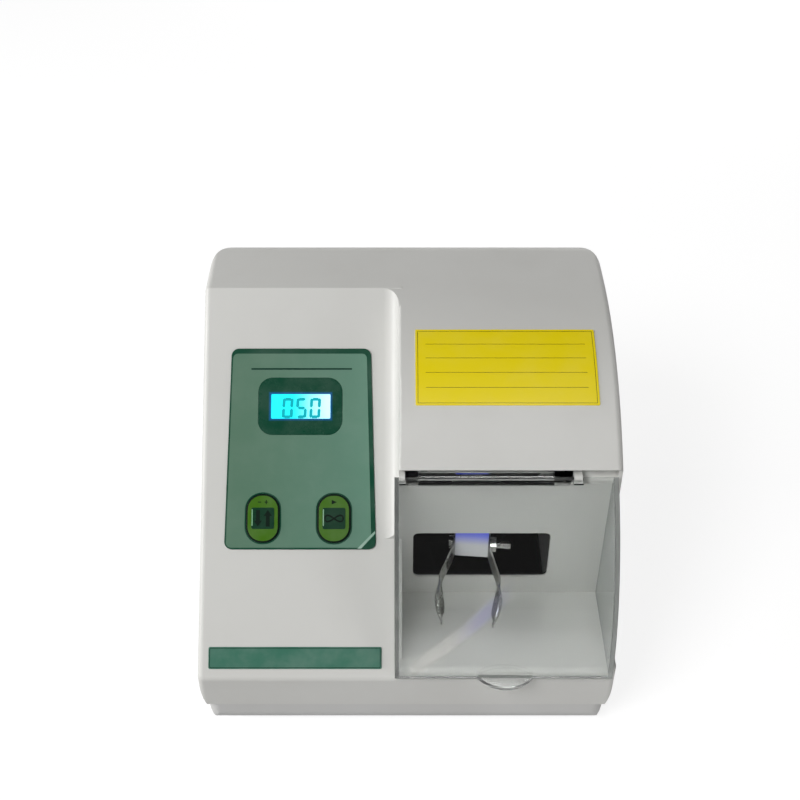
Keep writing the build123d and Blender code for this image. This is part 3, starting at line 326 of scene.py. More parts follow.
def bump(tree, shader, height, strength, distance):
    """Bump from a height."""
    node = tree.nodes.new("ShaderNodeBump")
    feed(node, {"Strength": strength, "Distance": distance, "Height": height})
    tree.links.new(node.outputs["Normal"], shader.inputs["Normal"])


def wear(tree, shader, under, dust, smudge):
    """Colour and roughness of a shader: those underneath, with dust and smudges on them."""
    worn = effect(
        tree, "handled", Colour=under["Colour"], Roughness=under["Roughness"], Dust=dust, Smudge=smudge)
    feed(shader, {"Base Color": worn["Colour"], "Roughness": worn["Roughness"]})


def glow(material, colour, strength):
    """Give a material an emission of that colour and strength."""
    feed(shader_of(material)[1], {"Emission Color": colour, "Emission Strength": strength})


def plastic(name, colour, gloss=0.4, grain=2600.0, relief=0.25, mottle=0.05, dust=0.05):
    """Moulded plastic."""
    material, tree, shader = blank_material(name)
    skin = effect(tree, "moulded_skin", Colour=rgba(colour), Grain=grain, Mottle=mottle, Gloss=gloss)
    wear(tree, shader, skin, dust, 0.06)
    bump(tree, shader, skin["Height"], relief, 0.04 * MM)
    return material


def metal(name, colour, rough=0.3, lines=900.0, stretch=(1, 1, 1), tarnish=0.15, relief=0.2):
    """Machined, drawn or plated metal."""
    material, tree, shader = blank_material(name)
    brushed = effect(
        tree, "brushed", Colour=rgba(colour), Vector=object_space(tree, stretch), Lines=lines,
        Roughness=rough, Tarnish=tarnish,
    )
    feed(shader, {"Base Color": brushed["Colour"], "Roughness": brushed["Roughness"], "Metallic": 1.0})
    bump(tree, shader, brushed["Height"], relief, 0.02 * MM)
    return material


def print_on(tree, shader, colour, uneven, rough, coat, coat_rough=0.12, dust=0.008, smudge=0.10):
    """Make a shader into printed film, or ink under a gloss film."""
    printed = effect(tree, "printed", Colour=colour, Uneven=uneven, Roughness=rough)
    wear(tree, shader, printed, dust, smudge)
    bump(tree, shader, printed["Height"], 0.15, 0.01 * MM)
    feed(shader, {"Specular IOR Level": 0.3, "Coat Weight": coat, "Coat Roughness": coat_rough})


def ink(name, colour, uneven=0.08, rough=0.32, coat=0.15):
    """Printed film or ink of one colour."""
    material, tree, shader = blank_material(name)
    print_on(tree, shader, rgba(colour), uneven, rough, coat)
    return material


# ---- mesh helpers ----
def rounded(points, radius, steps=8):
    """Closed outline of points with each corner rounded."""
    if radius <= 0:
        return points
    outline = []
    for index, corner in enumerate(points):
        here = Vector(corner)
        before = (Vector(points[index - 1]) - here).normalized()
        after = (Vector(points[(index + 1) % len(points)]) - here).normalized()
        half = before.angle(after) / 2
        reach = radius / max(sin(half) / cos(half), 1e-6)
        centre = here + (before + after).normalized() * (radius / sin(half))
        start, end = here + before * reach - centre, here + after * reach - centre
        sweep = start.angle_signed(end)
        for step in range(steps + 1):
            outline.append(tuple(centre + Matrix.Rotation(-sweep * step / steps, 2) @ start))
    return outline


def rectangle(centre, size):
    """Corners of a rectangle, anticlockwise."""
    (x, y), (w, h) = centre, size
    return [(x - w / 2, y - h / 2), (x + w / 2, y - h / 2), (x + w / 2, y + h / 2), (x - w / 2, y + h / 2)]


def offset(points, distances):
    """Polygon with each side moved inwards by its own distance."""
    lines = []
    for a, b, distance in zip(points, points[1:] + points[:1], distances):
        way = (Vector(b) - Vector(a)).normalized()
        lines.append((Vector(a) + Vector((-way.y, way.x)) * distance, way))
    corners = []
    for index, (q, e) in enumerate(lines):
        p, d = lines[index - 1]
        corners.append(tuple(p + d * ((q - p).cross(e) / d.cross(e))))
    return corners


def show(obj):
    """Link a new object into the scene."""
    bpy.context.scene.collection.objects.link(obj)
    return obj


def put_at(name, mesh, place):
    """New object with its own frame, so that its material can use that frame's coordinates."""
    obj = show(bpy.data.objects.new(name, mesh))
    obj.matrix_world = place
    return obj


def mesh_of(name, points, faces, material):
    """New mesh with one material."""
    mesh = bpy.data.meshes.new(name)
    mesh.from_pydata(points, [], faces)
    mesh.materials.append(material)
    return mesh


def curve_mesh(name, loops, material, **settings):
    """Mesh of a curve with these settings, through closed loops of points."""
    curve = bpy.data.curves.new(name, "CURVE")
    curve.bevel_resolution = 2
    for key, value in settings.items():
        setattr(curve, key, value)
    for loop in loops:
        spline = curve.splines.new("POLY")
        spline.points.add(len(loop) - 1)
        spline.use_cyclic_u = True
        for point, place in zip(spline.points, loop):
            point.co = (*place, *([0.0] * (3 - len(place))), 1)
    obj = show(bpy.data.objects.new(name, curve))
    mesh = bpy.data.meshes.new_from_object(obj.evaluated_get(bpy.context.evaluated_depsgraph_get()))
    bpy.data.objects.remove(obj)
    mesh.name = name
    mesh.materials.clear()
    mesh.materials.append(material)
    return mesh


def plate(name, loops, low, high, material, place=PANEL, edge=0.0):
    """Flat piece between two depths, from an outline and its holes, with softened edges."""
    mesh = curve_mesh(
        name, loops, material, dimensions="2D", fill_mode="BOTH",
        extrude=(high - low) / 2 - edge, bevel_depth=edge, offset=-edge,
    )
    mesh.transform(Matrix.Translation((0, 0, (low + high) / 2)))
    return put_at(name, mesh, place)


def loop_line(name, path, radius, flat, material):
    """Raised and flattened line along a closed path on the panel."""
    mesh = curve_mesh(name, [path], material, dimensions="3D", bevel_depth=radius)
    mesh.transform(Matrix.Diagonal((1, 1, flat, 1)))
    return put_at(name, mesh, PANEL)


def prisms(name, outlines, low, high, material):
    """Separate upright prisms between two depths of the panel, one from each convex outline."""
    points, faces = [], []
    for outline in outlines:
        start, count = len(points), len(outline)
        points += [(x, y, z) for z in (low, high) for x, y in outline]
        faces.append([start + k for k in reversed(range(count))])
        faces.append([start + count + k for k in range(count)])
        for k in range(count):
            after = (k + 1) % count
            faces.append([start + k, start + after, start + count + after, start + count + k])
    return put_at(name, mesh_of(name, points, faces, material), PANEL)


def smooth(obj, angle=radians(35)):
    """Smooth shading with sharp edges kept."""
    mesh = obj.data
    mesh.polygons.foreach_set("use_smooth", [True] * len(mesh.polygons))
    mesh.set_sharp_from_angle(angle=angle)
    return obj


WRAP_CUTS = 24


def wrapped(name, limits, low, high, material, corner=0.0):
    """Thin sheet laid round the hood; limits are x from, x to, and arc lengths from, to."""
    x0, x1, s0, s1 = limits
    outline = rounded([(x0, s0), (x1, s0), (x1, s1), (x0, s1)], corner, 6)
    sheet = plate(name, [outline], low, high, material, Matrix.Identity(4))
    work = bmesh.new()
    work.from_mesh(sheet.data)
    lengths = [v.co.y for v in work.verts]
    first, last = min(lengths), max(lengths)
    for k in range(1, WRAP_CUTS):
        cut = first + (last - first) * k / WRAP_CUTS
        everything = list(work.verts) + list(work.edges) + list(work.faces)
        bmesh.ops.bisect_plane(work, geom=everything, plane_co=(0, cut, 0), plane_no=(0, 1, 0))
    for v in work.verts:
        angle, reach = v.co.y / HOOD_R, HOOD_R + v.co.z
        v.co = (v.co.x, HOOD_Y + reach * sin(angle), HOOD_Z + reach * cos(angle))
    work.to_mesh(sheet.data)
    work.free()
    return sheet


def settle(piece, body, slot_name, *replaced):
    """Put a finished piece on its body, in place of its CAD nodes; the slot name is not used."""
    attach(piece, body)
    if replaced:
        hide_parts(*replaced)
    return piece


def dress(nodes, material):
    """Give CAD nodes a material; their names are one text."""
    for name in nodes.split():
        mesh_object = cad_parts[name]
        if not mesh_object.material_slots:
            mesh_object.data.materials.append(material)
        for holder in mesh_object.material_slots:
            holder.material = material


def dress_all(rows):
    """Dress CAD nodes; a row has their names, then the maker, name, colour and settings of a material."""
    for nodes, maker, name, colour, settings in rows:
        dress(nodes, maker(name, colour, **settings))


# ---- housing ----
def length(a, b):
    """Length of a vector from its two parts."""
    return (a * a + b * b).math("SQRT")


def inside_corner(first, second, radius):
    """1 under two faces that meet in a rounded corner; each is a coordinate and its face's place."""
    over = [(value - (face - radius)).most(0.0) for value, face in (first, second)]
    return length(*over) < radius - INSIDE


def inside_mask(tree):
    """1 on the faces inside the housing, which get painted shade; 0 on all that show outside and in the
    chamber.
    """
    x, y, z = axes(tree)
    under_panel = (z - LIP_Z) * cos(PANEL_ANGLE) - (y - LIP_Y) * sin(PANEL_ANGLE) < -INSIDE
    under_roof = length(y - HOOD_Y, z - HOOD_Z) < HOOD_R - INSIDE
    across = abs(x) + z.ramp(TUCK_Z[1], TUCK_Z[0]) * TUCK
    deeper = (z > HINGE[1] - 10 * MM) * HINGE_WALL
    in_plan = inside_corner((across, HALF_W), (y, BACK_Y), CORNER_R)
    in_side = inside_corner((y, BACK_Y), (z, LIP_Z + PANEL_RISE), BACK_TOP_R)
    behind_wall = y - deeper > WALL_Y + INSIDE
    left = under_panel.most(x > HOOD_LEFT + INSIDE)
    return left * in_plan * in_side * under_roof.most(y > HOOD_Y) * behind_wall


def paint_inside_shade(material):
    """Give the housing's material painted shade: a near-black, mottled colour on the faces that line its
    inside.
    """
    tree, shader = shader_of(material)
    outside = shader.inputs["Base Color"].links[0].from_socket
    shade_mottle = noise(tree, object_space(tree), 400.0, 3.0)
    painted_shade = mix_colour(tree, shade_mottle, (0.002, 0.002, 0.003, 1), (0.006, 0.006, 0.008, 1))
    feed(shader, {"Base Color": mix_colour(tree, inside_mask(tree), outside, painted_shade)})


def foam_material():
    """Near-black open-cell foam for the pads that stand in for shade behind the cooling slots."""
    material, tree, shader = blank_material("shade_pad_foam")
    cells = noise(tree, object_space(tree), 1300.0, 2.0, 0.7)
    tone = mix_colour(tree, cells, (0.002, 0.002, 0.002, 1), (0.010, 0.010, 0.011, 1))
    feed(shader, {"Base Color": tone, "Roughness": 0.95, "Specular IOR Level": 0.1})
    bump(tree, shader, cells, 0.8, 0.4 * MM)
    return material


def foam_pad(name, limits, material):
    """Foam pad with rounded upright corners between limits in x, y and z."""
    (x0, x1), (y0, y1), (z0, z1) = limits
    corners = [(x0, y0), (x1, y0), (x1, y1), (x0, y1)]
    outline = rounded(corners, min(x1 - x0, y1 - y0) * 0.08, 5)
    return plate(name, [outline], z0, z1, material, Matrix.Identity(4), edge=0.3 * MM)


def sheet_from_rows(name, rows, material, closed=False):
    """Mesh sheet through rows of points of equal length; closed joins each row's ends and caps it."""
    width = len(rows[0])
    faces = [
        (r * width + c, r * width + (c + 1) % width, (r + 1) * width + (c + 1) % width, (r + 1) * width + c)
        for r in range(len(rows) - 1) for c in range(width if closed else width - 1)
    ]
    if closed:
        faces += [tuple(reversed(range(width))), tuple(range((len(rows) - 1) * width, len(rows) * width))]
    points = [point for row in rows for point in row]
    return show(bpy.data.objects.new(name, mesh_of(name, points, faces, material)))


COVE_R = (4.66 * MM, 5.2 * MM)
COVE_HALF = 76                 # degrees to either side of level
COVE_STEPS = 20
COVE_SPANS = ((-3.4 * MM, -3.05 * MM), (85.4 * MM, 102.4 * MM))


def hinge_cove(name, span, material):
    """Rounded trough behind the hinge, beside the ears."""
    turns = [radians(COVE_HALF * (2 * k / COVE_STEPS - 1)) for k in range(COVE_STEPS + 1)]
    section = [(COVE_R[0], turn) for turn in turns] + [(COVE_R[1], turn) for turn in reversed(turns)]
    rows = [[(x, HINGE[0] + r * cos(turn), HINGE[1] + r * sin(turn)) for r, turn in section] for x in span]
    return smooth(sheet_from_rows(name, rows, material, closed=True))


# Limits in x, y and z of the dark foam pads behind the cooling slots, in the pan and at the rear. They
# stand in for shade: they close the slots so that the inside reads dark.
SHADE_PADS = {
    "pan_shade_pad": ((44 * MM, 80 * MM), (-24 * MM, 45 * MM), (7.1 * MM, 9.1 * MM)),
    "rear_shade_pad": ((19 * MM, 81 * MM), (BACK_Y - 4.7 * MM, BACK_Y - 2.7 * MM), (35 * MM, 87 * MM)),
}


FASTENINGS = (
    ("rubber_feet bump_stops",
     plastic, "foot_rubber", (0.03, 0.03, 0.03), dict(gloss=0.75, grain=1500.0, relief=0.5, dust=0.25)),
    ("foot_screws case_screws inlet_screws board_screws clamp_screws",
     metal, "screw_plated", (0.62, 0.62, 0.60), dict(rough=0.28, lines=1800.0)),
)


class MIXER_OT_housing(bpy.types.Operator):
    """Finish the moulded housing, the pan, the feet and their screws."""

    bl_idname = "mixer.housing"
    bl_label = "Housing finish"

    def execute(self, context):
        finish = context.scene.mixer_finish
        shell = plastic("housing_plastic", finish.housing_colour, 0.42, finish.grain_scale)
        # Painted shade: the housing's inside faces are near-black, so that the window and slot read dark.
        paint_inside_shade(shell)
        dress("upper_shell", shell)
        dress("base_pan", plastic("pan_plastic", finish.pan_colour, 0.48, finish.grain_scale, mottle=0.06))
        foam = foam_material()
        # Dark pads stand in for shade: they close the cooling slots so that no light shows through them.
        for name, limits in SHADE_PADS.items():
            settle(foam_pad(name, limits, foam), "housing", "rubber")
        back = plastic("hinge_cove_plastic", finish.housing_colour, 0.42, finish.grain_scale)
        for index, span in enumerate(COVE_SPANS):
            settle(hinge_cove(f"hinge_cove_{index}", span, back), "housing", "housing")
        dress_all(FASTENINGS)
        return {"FINISHED"}


# ---- cover ----
COVER_X = (-5.7 * MM, 102.5 * MM)
COVER_FOOT = LIP_Z + 4 * MM
# Place, slant, half width and reach of the painted reflection streak on the cover's front.
STREAK_AT = (-0.5 * MM, LIP_Z + 6 * MM)
STREAK_SLANT = radians(41.6)
STREAK_HALF = 4.5 * MM
STREAK_REACH = 55 * MM
SHADOW_SHARE = 0.31            # share of a shadow ray that the cover holds back


def cut_edges(x, y, z):
    """1 on the cover's cut edges: its two side faces and its foot."""
    left = x.ramp(COVER_X[0] + 0.5 * MM, COVER_X[0] + 0.1 * MM)
    right = x.ramp(COVER_X[1] - 0.25 * MM, COVER_X[1] - 0.05 * MM) * 0.7
    low = z.ramp(COVER_FOOT + 0.6 * MM, COVER_FOOT + 0.1 * MM)
    return left.most(right).most(low * y.ramp(LIP_Y - 5.4 * MM, LIP_Y - 4.9 * MM))


def reflection_streak(x, z):
    """Mask of a painted reflection: a slanting light streak on the front of the cover; and how near its
    upper end a point is.
    """
    x, z = x - STREAK_AT[0], z - STREAK_AT[1]
    across = abs(z * cos(STREAK_SLANT) - x * sin(STREAK_SLANT))
    ends = x.ramp(STREAK_REACH, 0.6 * STREAK_REACH) * x.ramp(0.0, 0.1 * STREAK_REACH)
    mask = across.ramp(STREAK_HALF, 0.4 * STREAK_HALF) * ends
    return mask, x.ramp(0.4 * STREAK_REACH, 0.8 * STREAK_REACH)


def clear_material(name):
    """Clear acrylic: gloss, a few hairlines, a painted reflection streak, and dull cut edges darkened with
    painted shade.

    Its side walls are painted grey and less clear: painted shade on walls seen edge-on. It lets most
    shadow rays through, so that the chamber behind it is lit.
    """
    material, tree, shader = blank_material(name)
    x, y, z = axes(tree)
    left = x.ramp(COVER_X[0] + 2.5 * MM, COVER_X[0] + 1.9 * MM)
    right = x.ramp(COVER_X[1] - 2.5 * MM, COVER_X[1] - 1.9 * MM)
    edge = cut_edges(x, y, z)
    streak, far_end = reflection_streak(x, z)
    hairs = noise(tree, object_space(tree, (1, 1, 14)), 160.0, 3.0, 0.8).ramp(0.66, 0.80)
    worn = effect(
        tree, "handled", Colour=(0.955, 0.975, 0.965, 1.0), Roughness=0.02, Dust=0.015, Smudge=0.035)
    # Painted shade: the side walls are greyed and made less clear, the left one darker.
    colour = mix_colour(tree, left, worn["Colour"], (0.27, 0.28, 0.27, 1))
    colour = mix_colour(tree, right, colour, (0.50, 0.52, 0.50, 1))
    # Painted reflection: a pale streak that turns bluish at its upper end and lets less light through.
    mark = mix_colour(tree, far_end, (0.95, 0.95, 0.93, 1), (0.70, 0.70, 1.0, 1))
    colour = mix_colour(tree, streak, colour, mark)
    rays = tree.nodes.new("ShaderNodeLightPath")
    feed(shader, {
        # Painted shade on the cut edges: they are darkened; their extra roughness is the dullness of a cut
        # edge.
        "Base Color": mix_colour(tree, edge, colour, (0.20, 0.22, 0.21, 1)),
        "Roughness": Wire(tree, worn["Roughness"]) + hairs * 0.02 + edge * 0.30,
        "Transmission Weight": 1.0 - (left.most(right) * 0.38 + streak * 0.12),
        "IOR": 1.49,
        "Alpha": 1.0 - Wire(tree, rays.outputs["Is Shadow Ray"]) * SHADOW_SHARE,
    })
    return material


class MIXER_OT_cover(bpy.types.Operator):
    """Finish the clear hinged cover and its pin."""

    bl_idname = "mixer.cover"
    bl_label = "Clear cover"

    def execute(self, context):
        dress("clear_cover", clear_material("clear_acrylic"))
        dress("hinge_pin", metal("hinge_steel", (0.10, 0.10, 0.10), lines=1600.0, stretch=(1, 8, 8)))
        return {"FINISHED"}


# ---- keypad, in the panel frame ----
FILM = [(x * MM, y * MM) for x, y in ((-92.4, 63.0), (-15.2, 63.0), (-18.0, 166.3), (-90.1, 166.3))]
FILM_CORNER = 4 * MM
TITLE_AT = (-53.8 * MM, 155.6 * MM)
TITLE_SIZE = (52.0 * MM, 0.9 * MM)
LIFT = (9.5 * MM, 1.5 * MM)    # film corner that has come loose: reach of the fold and its width
LIFT_GAP = 0.4 * MM            # between the loose corner's prints and the film's edge
BEZEL_AT = (-54.35 * MM, 136.2 * MM)
BEZEL_SIZE = (43.3 * MM, 29.6 * MM)
BEZEL_CORNER = 7.5 * MM
DISPLAY_AT = (-54.15 * MM, 136.15 * MM)
DISPLAY_SIZE = (30.5 * MM, 12.7 * MM)
DISPLAY_TOP = 0.45 * MM
KEY_SIZE = (16.6 * MM, 24.3 * MM)
KEY_CORNER = 7.8 * MM
KEY_AT = {"set_key": (-72.8 * MM, 78.75 * MM), "start_key": (-36.6 * MM, 78.65 * MM)}
KEY_TOP = 1.6 * MM
KEY_GAP = 0.5 * MM             # a key's hole is this much larger than the key
TILE_SIZE = (11.6 * MM, 10.8 * MM)
TILE_TOP = KEY_TOP + 0.3 * MM
SIGN_FLAT = 0.4


def field_material(colour):
    """Keypad field: a little lighter and greyer towards its right side."""
    material, tree, shader = blank_material("keypad_field")
    side = axes(tree)[0].ramp(-92 * MM, -12 * MM)
    tone = mix_colour(tree, side, rgba(colour), (0.115, 0.235, 0.172, 1))
    print_on(tree, shader, tone, 0.03, 0.34, 0.15, coat_rough=0.15, dust=0.01, smudge=0.12)
    return material


def grown(centre, size, corner, more=0.0):
    """Outline of a rounded rectangle made larger by so much in all."""
    return rounded(rectangle(centre, [s + more for s in size]), corner + more / 2)


def key_outline(at, more=0.0):
    """Outline of an oval key made larger by so much in all."""
    return grown(at, KEY_SIZE, KEY_CORNER, more)


class MIXER_OT_keypad(bpy.types.Operator):
    """Build the keypad film with its field, border and rules."""

    bl_idname = "mixer.keypad"
    bl_label = "Keypad film"

    def execute(self, context):
        finish, sizes = context.scene.mixer_finish, context.scene.mixer_sizes
        border = ink("keypad_border", finish.border_colour, uneven=0.04)
        dark = ink("keypad_line", (0.004, 0.035, 0.022), uneven=0.0)
        pale = ink("lifted_film_highlight", (0.25, 0.40, 0.32), uneven=0.3, rough=0.2)
        holes = [key_outline(at, KEY_GAP) for at in KEY_AT.values()]
        film_loops = [rounded(FILM, FILM_CORNER), grown(BEZEL_AT, BEZEL_SIZE, BEZEL_CORNER), *holes]
        film = plate("keypad_film_sheet", film_loops, 0.0, FILM_TOP, border, edge=0.15 * MM)
        settle(film, "housing", "film", "keypad_film")
        side, top = sizes.border_side, sizes.border_top
        inner = offset(FILM, [side, 0.85 * top, top, side])
        bezel_gap = rounded(rectangle(BEZEL_AT, [s + 0.2 * MM for s in BEZEL_SIZE]), BEZEL_CORNER)
        rings = [key_outline(at, 2.0 * MM) for at in KEY_AT.values()]
        field = plate(
            "keypad_field_print", [rounded(inner, FILM_CORNER - 1.5 * MM), bezel_gap, *rings],
            FILM_TOP - 0.01 * MM, FILM_TOP + INK, field_material(finish.field_colour),
        )
        settle(field, "housing", "film")
        x, y = FILM[1]
        reach, band = LIFT
        # The loose corner is drawn flat: its fold is a pale band of painted highlight, its tip is border
        # ink.
        fold = [(x - 0.5 * MM, y + reach), (x - reach, y + LIFT_GAP)]
        crease = [(x - reach + band * 1.3, y + LIFT_GAP), (x - LIFT_GAP, y + reach - band)]
        tip = [*reversed(crease), (x - 2.0 * MM, y + LIFT_GAP), (x - LIFT_GAP, y + 2.0 * MM)]
        for name, outline, colour in (
            ("title_rule", rectangle(TITLE_AT, TITLE_SIZE), dark),
            ("film_fold_highlight", fold + crease, pale),
            ("film_tip", tip, border),
        ):
            settle(plate(name, [outline], FILM_TOP + INK, FILM_TOP + 2 * INK, colour), "housing", "film")
        return {"FINISHED"}


# ---- display ----
DIGITS = "050"
SEGMENTS = {"0": "abcdef", "5": "afgcd"}
DIGIT_PITCH = 0.668            # from digit to digit, as a share of their height
DIGIT_DROP = 0.85 * MM         # digits sit this far below the display's middle


def bezel_material(colour):
    """Dark bezel film with a painted blue glow next to the display, standing for the display's light
    falling on it.
    """
    material = ink("bezel_film", colour, uneven=0.03, rough=0.25)
    tree = material.node_tree
    gaps = [abs(value - at) - size / 2 for value, at, size in zip(axes(tree), DISPLAY_AT, DISPLAY_SIZE)]
    # Painted glow: strongest at the display's edge, gone 1.5 mm out.
    near = 1.0 - gaps[0].most(gaps[1]).ramp(0.0, 1.5 * MM)
    glow(material, mix_colour(tree, near, (0, 0, 0, 1), (0.002, 0.11, 0.60, 1)), 0.5)
    return material


def lit_material(colour):
    """Backlit display: bright towards its right end, with a faint cell pattern."""
    material, tree, shader = blank_material("display_light")
    x, width = DISPLAY_AT[0], DISPLAY_SIZE[0]
    side = axes(tree)[0].ramp(x - width * 0.15, x + width * 0.55)
    cells = noise(tree, object_space(tree), 2500.0, 1.0)
    spread = noise(tree, object_space(tree), 120.0, 3.0)
    tone = mix_colour(tree, side, rgba(colour), (0.55, 0.93, 1.0, 1))
    tone = mix_colour(tree, spread * 0.25, tone, (0.01, 0.55, 0.75, 1))
    feed(shader, {"Base Color": tone, "Roughness": 0.3})
    glow(material, tone, 0.75)
    bump(tree, shader, cells, 0.1, 0.01 * MM)
    return material


def segment_outline(letter, origin, height):
    """Outline of one bar of a seven-bar digit whose lower left corner is at the origin."""
    width, bar, gap, slant = height * 0.53, height * 0.145, height * 0.012, 0.05
    half, thick = height / 2, bar / 2
    flat = {"a": height, "g": half, "d": 0.0}
    upright = {"f": (0, half), "b": (width, half), "e": (0, 0), "c": (width, 0)}
    if letter in flat:
        y = min(max(flat[letter], thick), height - thick)
        left, right = gap + bar, width - gap - bar
        points = [
            (left - thick, y), (left, y - thick), (right, y - thick),
            (right + thick, y), (right, y + thick), (left, y + thick),
        ]
    else:
        x, low = upright[letter]
        x = min(max(x, thick), width - thick)
        low, high = low + gap, low + half - gap
        points = [
            (x, low), (x + thick, low + thick), (x + thick, high - thick),
            (x, high), (x - thick, high - thick), (x - thick, low + thick),
        ]
    return [(origin[0] + px + py * slant, origin[1] + py) for px, py in points]


class MIXER_OT_display(bpy.types.Operator):
    """Build the bezel, the window and the lit display with its digits."""

    bl_idname = "mixer.display"
    bl_label = "Display"

    def execute(self, context):
        finish, sizes = context.scene.mixer_finish, context.scene.mixer_sizes
        window = rounded(rectangle(DISPLAY_AT, DISPLAY_SIZE), 0.5 * MM, 3)
        bezel = plate(
            "display_bezel_film", [grown(BEZEL_AT, BEZEL_SIZE, BEZEL_CORNER), window],
            0.05 * MM, FILM_TOP + 0.12 * MM, bezel_material(finish.border_colour), edge=0.1 * MM,
        )
        settle(bezel, "housing", "bezel", "display_bezel")
        light = lit_material(finish.lit_colour)
        glass = plate("display_glass", [window], -0.3 * MM, DISPLAY_TOP, light, edge=0.05 * MM)
        settle(glass, "housing", "display", "display_lens")
        bars = ink("display_digit", (0.002, 0.10, 0.12), uneven=0.0)
        glow(bars, (0.0, 0.36, 0.42, 1), 1.0)
        height = sizes.digit_height
        step = height * DIGIT_PITCH
        left = DISPLAY_AT[0] - 1.38 * step
        low = DISPLAY_AT[1] - height / 2 - DIGIT_DROP
        loops = [
            segment_outline(letter, (left + place * step, low), height)
            for place, figure in enumerate(DIGITS) for letter in SEGMENTS[figure]
        ]
        settle(prisms("display_digits", loops, DISPLAY_TOP, DISPLAY_TOP + INK, bars), "housing", "display")
        return {"FINISHED"}


# ---- keys ----
def arrow(centre, direction):
    """Outline of a block arrow that points up (1) or down (-1)."""
    x, y = centre
    half, barb, width, stem = 4.2 * MM, 3.0 * MM, 4.2 * MM, 2.0 * MM
    foot, neck, tip = (y + d * direction for d in (-half, half - barb, half))
    return [
        (x - stem / 2, foot), (x + stem / 2, foot), (x + stem / 2, neck), (x + width / 2, neck),
        (x, tip), (x - width / 2, neck), (x - stem / 2, neck),
    ]


def figure_eight(centre, width, height, steps=64):
    """Closed path of a lying figure eight."""
    return [
        (centre[0] + width / 2 * cos(t), centre[1] + height / 2 * sin(2 * t))
        for t in (2 * pi * k / steps for k in range(steps))
    ]


def set_sign(x, y, dark):
    """Two arrows, and the outlines of a minus and a plus above them."""
    bar, post = (1.7 * MM, 0.45 * MM), (0.45 * MM, 0.85 * MM)
    side, level = 1.7 * MM, y + 8.2 * MM
    loops = [arrow((x - 2.4 * MM, y), -1), arrow((x + 2.6 * MM, y), 1)]
    marks = [rectangle((x - side, level), bar), rectangle((x + side, level), bar)]
    marks += [rectangle((x + side, level + up * 0.65 * MM), post) for up in (1, -1)]
    return plate("set_key_sign", loops, TILE_TOP, TILE_TOP + INK, dark), marks


def start_sign(x, y, dark):
    """A lying figure eight, and the outline of a small triangle above it."""
    path = [(px, py, TILE_TOP / SIGN_FLAT) for px, py in figure_eight((x, y), 9.2 * MM, 3.2 * MM)]
    marks = [[(x - 1.2 * MM, y + 7.1 * MM), (x + 1.5 * MM, y + 8.25 * MM), (x - 1.2 * MM, y + 9.4 * MM)]]
    return loop_line("start_key_sign", path, 0.42 * MM, SIGN_FLAT, dark), marks


KEY_SIGNS = {"set_key": set_sign, "start_key": start_sign}


class MIXER_OT_keys(bpy.types.Operator):
    """Build the two oval keys with their raised squares and signs."""

    bl_idname = "mixer.keys"
    bl_label = "Keys"

    def execute(self, context):
        face = ink("key_pad", context.scene.mixer_finish.key_colour, uneven=0.05, rough=0.3)
        dark = ink("key_line", (0.001, 0.008, 0.004), uneven=0.0, rough=0.6, coat=0.0)
        square = ink("key_square", (0.002, 0.034, 0.014), uneven=0.02, rough=0.28)
        # Painted highlight: a pale green strip along the left edge of each raised square.
        gleam = ink("key_painted_highlight", (0.20, 0.42, 0.24), uneven=0.3, rough=0.25)
        for name, (x, y) in KEY_AT.items():
            at = (x, y)
            well = plate(name + "_well", [key_outline(at, KEY_GAP)], 0.0, 0.08 * MM, dark)
            settle(well, "housing", "film")
            outline = [key_outline(at)]
            base = plate(name + "_base", outline, 0.62 * MM, KEY_TOP - 0.05 * MM, dark, edge=0.3 * MM)
            settle(base, name, "key", name)
            top = key_outline(at, -1.3 * MM)
            tile = rounded(rectangle(at, TILE_SIZE), 0.9 * MM, 4)
            shine = rounded(rectangle((x - 5.35 * MM, y + 0.4 * MM), (0.5 * MM, 8.4 * MM)), 0.2 * MM, 3)
            for suffix, loop, low, high, colour, edge in (
                ("_pad", top, KEY_TOP - 0.2 * MM, KEY_TOP + 0.06 * MM, face, 0.05 * MM),
                ("_square", tile, KEY_TOP, TILE_TOP, square, 0.14 * MM),
                ("_gleam", shine, TILE_TOP, TILE_TOP + INK, gleam, 0.0),
            ):
                settle(plate(name + suffix, [loop], low, high, colour, edge=edge), name, "key")
            sign, marks = KEY_SIGNS[name](x, y, dark)
            settle(sign, name, "key")
            settle(plate(name + "_mark", marks, KEY_TOP + 0.05 * MM, KEY_TOP + 0.1 * MM, dark), name, "key")
        return {"FINISHED"}


# ---- strip and label ----
STRIP_AT = (-55.8 * MM, 8.9 * MM)
STRIP_SIZE = (87.0 * MM, 10.9 * MM)
STRIP_T = 0.4 * MM
LABEL_X = (4.6 * MM, 94.6 * MM)
LABEL_Y = (LIP_Y + 74.3 * MM, LIP_Y + 114.5 * MM)
LABEL_T = 0.4 * MM
LABEL_MARGIN = 1.1 * MM        # from the label's edge to its frame line
RULE_MARGIN = 4 * MM           # from the frame line to the ends of the ruled lines
RULE_WIDTH = 0.22 * MM


class MIXER_OT_strip(bpy.types.Operator):
    """Build the green strip at the foot of the panel."""

    bl_idname = "mixer.strip"
    bl_label = "Panel strip"

    def execute(self, context):
        finish = context.scene.mixer_finish
        colour = ink("strip_print", finish.strip_colour, uneven=0.08, rough=0.35)
        line = ink("strip_line", [c * 0.25 for c in finish.strip_colour], uneven=0.0)
        outline = rounded(rectangle(STRIP_AT, STRIP_SIZE), 0.8 * MM, 4)
        base = plate("panel_strip", [outline], 0.0, STRIP_T, colour, edge=0.1 * MM)
        settle(base, "housing", "strip", "trim_strip")
        loops = [
            rounded(rectangle(STRIP_AT, [s - less for s in STRIP_SIZE]), corner, 3)
            for less, corner in ((1.0 * MM, 0.7 * MM), (1.6 * MM, 0.5 * MM))
        ]
        settle(plate("strip_frame", loops, STRIP_T, STRIP_T + INK, line), "housing", "strip")
        return {"FINISHED"}


